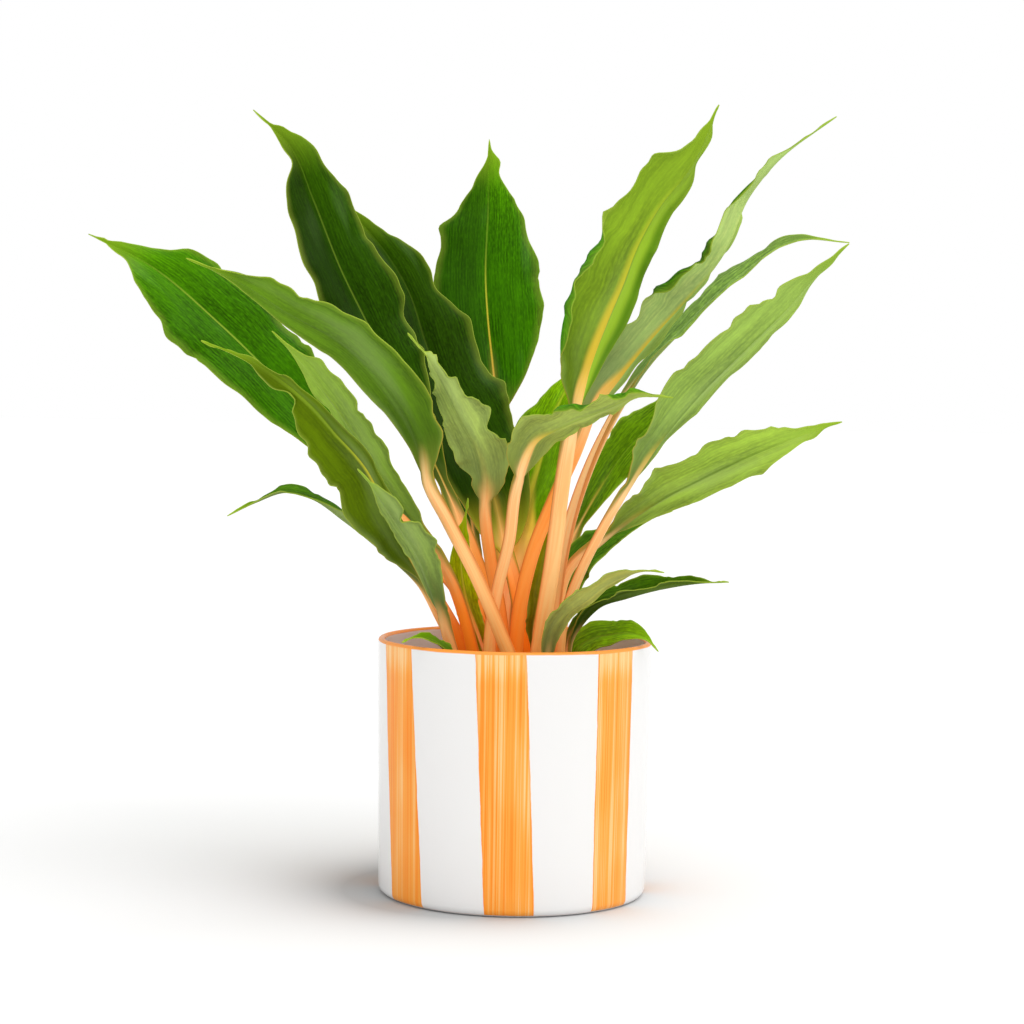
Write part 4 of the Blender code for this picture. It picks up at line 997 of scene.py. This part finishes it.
def glaze_material():
    """White glaze, with brushed stripes by the angle round the pot and a painted lip by the height.

    The distance to a stripe is the angle to its middle, which leans with the height, less its half width.
    The least of the seven distances gives both the painted area and the deeper line along its edges.
    """
    look = Look("striped_glaze")
    place = look.node("TexCoord", output=3)
    x, y, z = look.parts(place)
    height = z / MM
    angle = x.maths("ARCTAN2", 0 - y) * (180 / math.pi)
    tremble = look.noise((angle * 0.02, 0.0, height * 0.05), detail=5.0, rough=0.6) - 0.5
    offsets = [abs((angle - (foot + (top - foot) / POT_HEIGHT * height)).maths("WRAP", 180.0, -180.0))
               for top, foot in STRIPES]
    nearest = offsets[0]
    for offset in offsets[1:]:
        nearest = nearest.maths("MINIMUM", offset)
    inside = STRIPE_HALF - nearest + tremble * 1.3
    inner, outer = ((RIM_RADIUS - depth) ** 2 * MM**2 for depth in (3.2, 3.0))
    outer_side = (x * x + y * y).step(inner, outer)

    hairs = look.noise((angle * 1.9, 0.0, height * 0.004), detail=2.0, rough=0.6)
    bands = look.noise((angle * 0.50, 0.0, height * 0.006))
    pools = look.noise((angle * 0.05, 3.0, height * 0.02))
    dryness_and_light = (hairs.step(0.40, 0.58) * 0.50 + bands.step(0.38, 0.62) * 0.45) * 0.85
    # painted light: the stripes from the front round to the right, on the lamp's side, are painted paler as
    # well
    dryness_and_light = dryness_and_light + pools.step(0.4, 0.7) * 0.2 + height.step(112, 126) * 0.4 + angle.step(-20, 50) * 0.16
    paint = look.coats(
        PAINT_DEEP,
        (dryness_and_light.step(0.0, 0.6), PAINT),
        (dryness_and_light.step(0.55, 1.15), PAINT_THIN),
        (inside.step(1.2, 0.3) * 0.5, PAINT_DEEP))
    painted = inside.step(-0.08, 0.12) * outer_side * height.step(0.5, 1.1)
    foot_line = (abs(height - 0.75) - 0.35).step(0.15, -0.1) * outer_side
    shade = look.coats(
        WHITE,
        (painted, paint),
        ((height + tremble * 1.6).step(LIP_HEIGHT - 0.15, LIP_HEIGHT + 0.25), LIP_PAINT),
        (foot_line * 0.55, PAINT_DEEP))

    glaze_waves = look.noise(place, 35.0, detail=2.0)
    relief = (0.35, 0.0006, glaze_waves * 0.7 + painted * (0.12 + hairs * 0.10))
    roughness = 0.17 + painted * 0.16 + glaze_waves * 0.05
    return look.finish(shade, roughness, relief, Specular_IOR_Level=0.3)


pot.data.materials.append(glaze_material())
print("stripes:", len(STRIPES))

# %% [markdown]
# ## The soil
# Potting soil is a dark, damp crumble of peat with bits of bark and white grains of perlite. Its surface is
# a plug whose top carries lumps of every size. The loose crumbs that lie on it are real small stones of
# mesh: a few hundred, each with only twelve corners, which costs little and catches the light far better
# than a bump.

# %% Soil plug
SOIL_LOW, SOIL_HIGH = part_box("soil")
SOIL_RADIUS = SOIL_HIGH.x / MM - 0.1
SOIL_FOOT = SOIL_LOW.z / MM + 0.1
SOIL_TOP = 107.0
LUMPS = 46
LUMP_HEIGHT = 0.017             # as a share of a lump's length
ground_rng = np.random.default_rng(3)
lump_sizes = np.geomspace(2.0, 26.0, LUMPS)
lump_turns = ground_rng.uniform(0, 2 * np.pi, LUMPS)
lump_starts = ground_rng.uniform(0, 2 * np.pi, LUMPS)


def soil_height(x, y):
    """The soil's height: a sum of many waves in all directions, each as high as a share of its length."""
    across = np.cos(lump_turns) * x[..., None] + np.sin(lump_turns) * y[..., None]
    waves = np.sin(2 * np.pi * across / lump_sizes + lump_starts)
    return SOIL_TOP + (LUMP_HEIGHT * lump_sizes * waves).sum(-1)


top = np.linspace((0, SOIL_TOP), (SOIL_RADIUS, SOIL_TOP), 100)
side = [(SOIL_RADIUS - 0.3, 80), (SOIL_RADIUS - 0.6, SOIL_FOOT + 6)]
foot = [(SOIL_RADIUS - 4, SOIL_FOOT), (0, SOIL_FOOT)]
points = turned(np.concatenate([top, side, foot]), full_turn(300))
ground = points[:len(top)]
ground[..., 2] = soil_height(ground[..., 0], ground[..., 1])
soil = turned_object("soil_plug", points)
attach(soil, "root")
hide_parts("soil")
print("soil top from", ground[..., 2].min().round(1), "to", ground[..., 2].max().round(1), "mm")

# %% Loose crumbs
CRUMBS = 420
LARGEST_CRUMB = 2.6             # half width, mm
CRUMB_RISE = 0.25               # height of its middle over the soil, as a share of its half width
GOLDEN = (1 + 5**0.5) / 2
crumb_rng = np.random.default_rng(11)


def stone():
    """The twelve corners and twenty faces of an icosahedron, for one crumb.

    The corners are all turns of (0, 1, golden ratio) with either sign. Three corners make a face where
    each is two away from the others, in the order that points the face outwards.
    """
    signs = [(a, b * GOLDEN) for a in (-1, 1) for b in (-1, 1)]
    corners = np.array([np.roll((0, *pair), turn) for turn in range(3) for pair in signs])
    triples = np.array(list(itertools.combinations(range(12), 3)))
    one, two, three = corners[triples].transpose(1, 0, 2)
    sides = np.stack([one - two, two - three, three - one])
    near = np.isclose(np.linalg.norm(sides, axis=-1), 2).all(0)
    outwards = (np.cross(two - one, three - one) * one).sum(-1) > 0
    triples[~outwards] = triples[~outwards][:, ::-1]
    return corners / np.linalg.norm(corners[0]), triples[near]


def scattered_stones(rng, count, reach):
    """Crumbs strewn over the soil: each a stone squashed and turned at random and half sunk in."""
    corners, triples = stone()
    size = rng.uniform(0.5, 1.0, count) ** 2 * LARGEST_CRUMB
    shape = rng.uniform(0.55, 1.25, (count, 1, 3)) * rng.uniform(0.82, 1.15, (count, 12, 1))
    spun = np.linalg.qr(rng.normal(size=(count, 3, 3)))[0]
    spun *= np.linalg.det(spun)[:, None, None]
    stones = (corners * shape * size[:, None, None]) @ spun
    distance = reach * np.sqrt(rng.uniform(0, 1, count))
    bearing = rng.uniform(0, 2 * np.pi, count)
    x, y = distance * np.cos(bearing), distance * np.sin(bearing)
    place = np.stack([x, y, soil_height(x, y) + CRUMB_RISE * size], axis=-1)
    faces = triples + 12 * np.arange(count)[:, None, None]
    return (stones + place[:, None]).reshape(-1, 3), faces.reshape(-1, 3)


points, faces = scattered_stones(crumb_rng, CRUMBS, SOIL_RADIUS - 3.5)
kind = np.repeat(crumb_rng.uniform(0, 1, CRUMBS), 12)
crumbs = mesh_object("soil_crumbs", points, faces, {"kind": kind})
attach(crumbs, "root")
print("crumbs:", CRUMBS, "of", len(faces) // CRUMBS, "faces")

# %% [markdown]
# ## Soil materials
# Damp peat is nearly black-brown and dull, with a little redder fibre in it. The crumbs use the same
# earth, and a few of them are bark, which is warmer, or perlite, which is chalk white. A random number
# stored for each crumb picks which.

# %% Soil finish
PEAT_DARK = (38, 26, 18)
PEAT = (78, 56, 40)
BARK = (128, 84, 52)
PERLITE = (214, 208, 196)


def soil_material(name, kinds):
    """Peat by two noises, and with kinds, bark where the crumb's number is high and perlite above that."""
    look = Look(name)
    place = look.node("TexCoord", output=3)
    clods = look.noise(place, 160.0, detail=3.0)
    grit = look.noise(place, 900.0, detail=4.0, rough=0.7)
    shade = look.coats(PEAT_DARK, (clods.step(0.35, 0.65), PEAT), (grit.step(0.6, 0.75) * 0.5, BARK))
    if kinds:
        kind = look.number("kind")
        shade = look.coats(shade, (kind.step(0.70, 0.72) * 0.8, BARK), (kind.step(0.93, 0.94), PERLITE))
    relief = (0.8, 0.0008, clods + grit * 0.5)
    return look.finish(shade, 0.82 + grit * 0.12, relief, Specular_IOR_Level=0.3)


soil.data.materials.append(soil_material("damp_peat", False))
crumbs.data.materials.append(soil_material("loose_crumbs", True))
print("soil colours:", PEAT_DARK, PEAT, BARK, PERLITE)

# %% [markdown]
# ## Floor, light and camera
# The plant stands on a seamless white floor in a white room. The white world lights it from all round, a
# little more from the front, and one broad soft lamp high up on the right gives the leaves their modelling
# and lays a soft shadow to the left. Only the first would look flat, and only the second too hard. Light
# from so many sides leaves almost no shade where the pot meets the floor, so a little of it is painted
# there, fading outwards as an exponential. The Standard view keeps white white: the film-like one that
# Blender starts with would turn it grey.

# %% Floor
FLOOR_SIZE = 30000.0            # mm
POOL_DEPTH = 0.43               # how dark the shade round the pot's foot is
POOL_REACH = 26.0               # how fast it fades, mm
POOL_ASIDE = 18.0               # how far to the left it lies, mm
FLOOR_COLOUR = (236, 236, 236)  # just light enough to come out white where nothing shades it
corners = np.array([(-1, -1, 0), (1, -1, 0), (1, 1, 0), (-1, 1, 0)]) * FLOOR_SIZE / 2
floor = mesh_object("floor", corners, np.array([[0, 1, 2, 3]]))
look = Look("white_floor")
x, y, _ = look.parts(look.node("TexCoord", output=3))
x = x + POOL_ASIDE * MM
from_foot = (x * x + y * y).maths("SQRT") - FOOT_RADIUS * MM
pooled = (from_foot / (-POOL_REACH * MM)).maths("EXPONENT").maths("MINIMUM", 1.0) * POOL_DEPTH
shade = look.mix(pooled, FLOOR_COLOUR, (0, 0, 0))
floor.data.materials.append(look.finish(shade, 0.9, Specular_IOR_Level=0.0))
floor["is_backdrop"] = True
print("floor:", FLOOR_SIZE / 1000, "m wide")

# %% World and lamp
ROOM_LIGHT = 0.82               # how strongly the white room lights the plant. It looks pure white.
FRONT_LIGHT = 0.30              # how much more of it comes from the front, and less from behind
LAMP_FROM = (0.55, -0.20, 1.25)
LAMP_WIDTH = 60.0               # degrees
LAMP_STRENGTH = 1.65
scene = bpy.context.scene
scene.view_settings.view_transform = "Standard"
scene.view_settings.look = "None"
room = Look("white_room", bpy.data.worlds)
_, away, _ = room.parts(room.node("TexCoord"))
seen = room.node("LightPath")
strength = seen + (1 - seen) * (1 - away * FRONT_LIGHT) * ROOM_LIGHT
light = room.node("Background", {}, {"Color": (1, 1, 1, 1), "Strength": strength})
room.node("OutputWorld", {}, {"Surface": light})
scene.world = room.made

lamp = bpy.data.objects.new("broad_lamp", bpy.data.lights.new("broad_lamp", "SUN"))
lamp.data.angle = math.radians(LAMP_WIDTH)
lamp.data.energy = LAMP_STRENGTH
lamp.rotation_euler = Vector(LAMP_FROM).to_track_quat("Z", "Y").to_euler()
scene.collection.objects.link(lamp)
print("lamp:", LAMP_WIDTH, "degrees wide, from", LAMP_FROM)

# %% Camera
CAMERA_PLACE = (-2.7, -1243.0, 257.5)   # mm
LOOKS_DOWN = 0.0507                     # radians
LEANS = 0.0159                          # radians
LENS = 85.8                             # mm on a film 36 mm wide
camera = bpy.data.objects.new("camera", bpy.data.cameras.new("camera"))
camera.data.lens = LENS
camera.data.sensor_width = 36.0
camera.data.clip_start = 0.01
camera.matrix_world = (Matrix.Translation(Vector(CAMERA_PLACE) * MM)
                       @ Matrix.Rotation(math.pi / 2 - LOOKS_DOWN, 4, "X") @ Matrix.Rotation(LEANS, 4, "Z"))
scene.collection.objects.link(camera)
scene.camera = camera
print("camera at", CAMERA_PLACE)

# %% Sizes and the end
visual_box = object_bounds()
boxes = {"solids": solid_box, "visual": visual_box}
boxes = {name: [[float(c) for c in corner] for corner in box] for name, box in boxes.items()}
print("visual box in mm:", [[round(c / MM) for c in corner] for corner in boxes["visual"]])
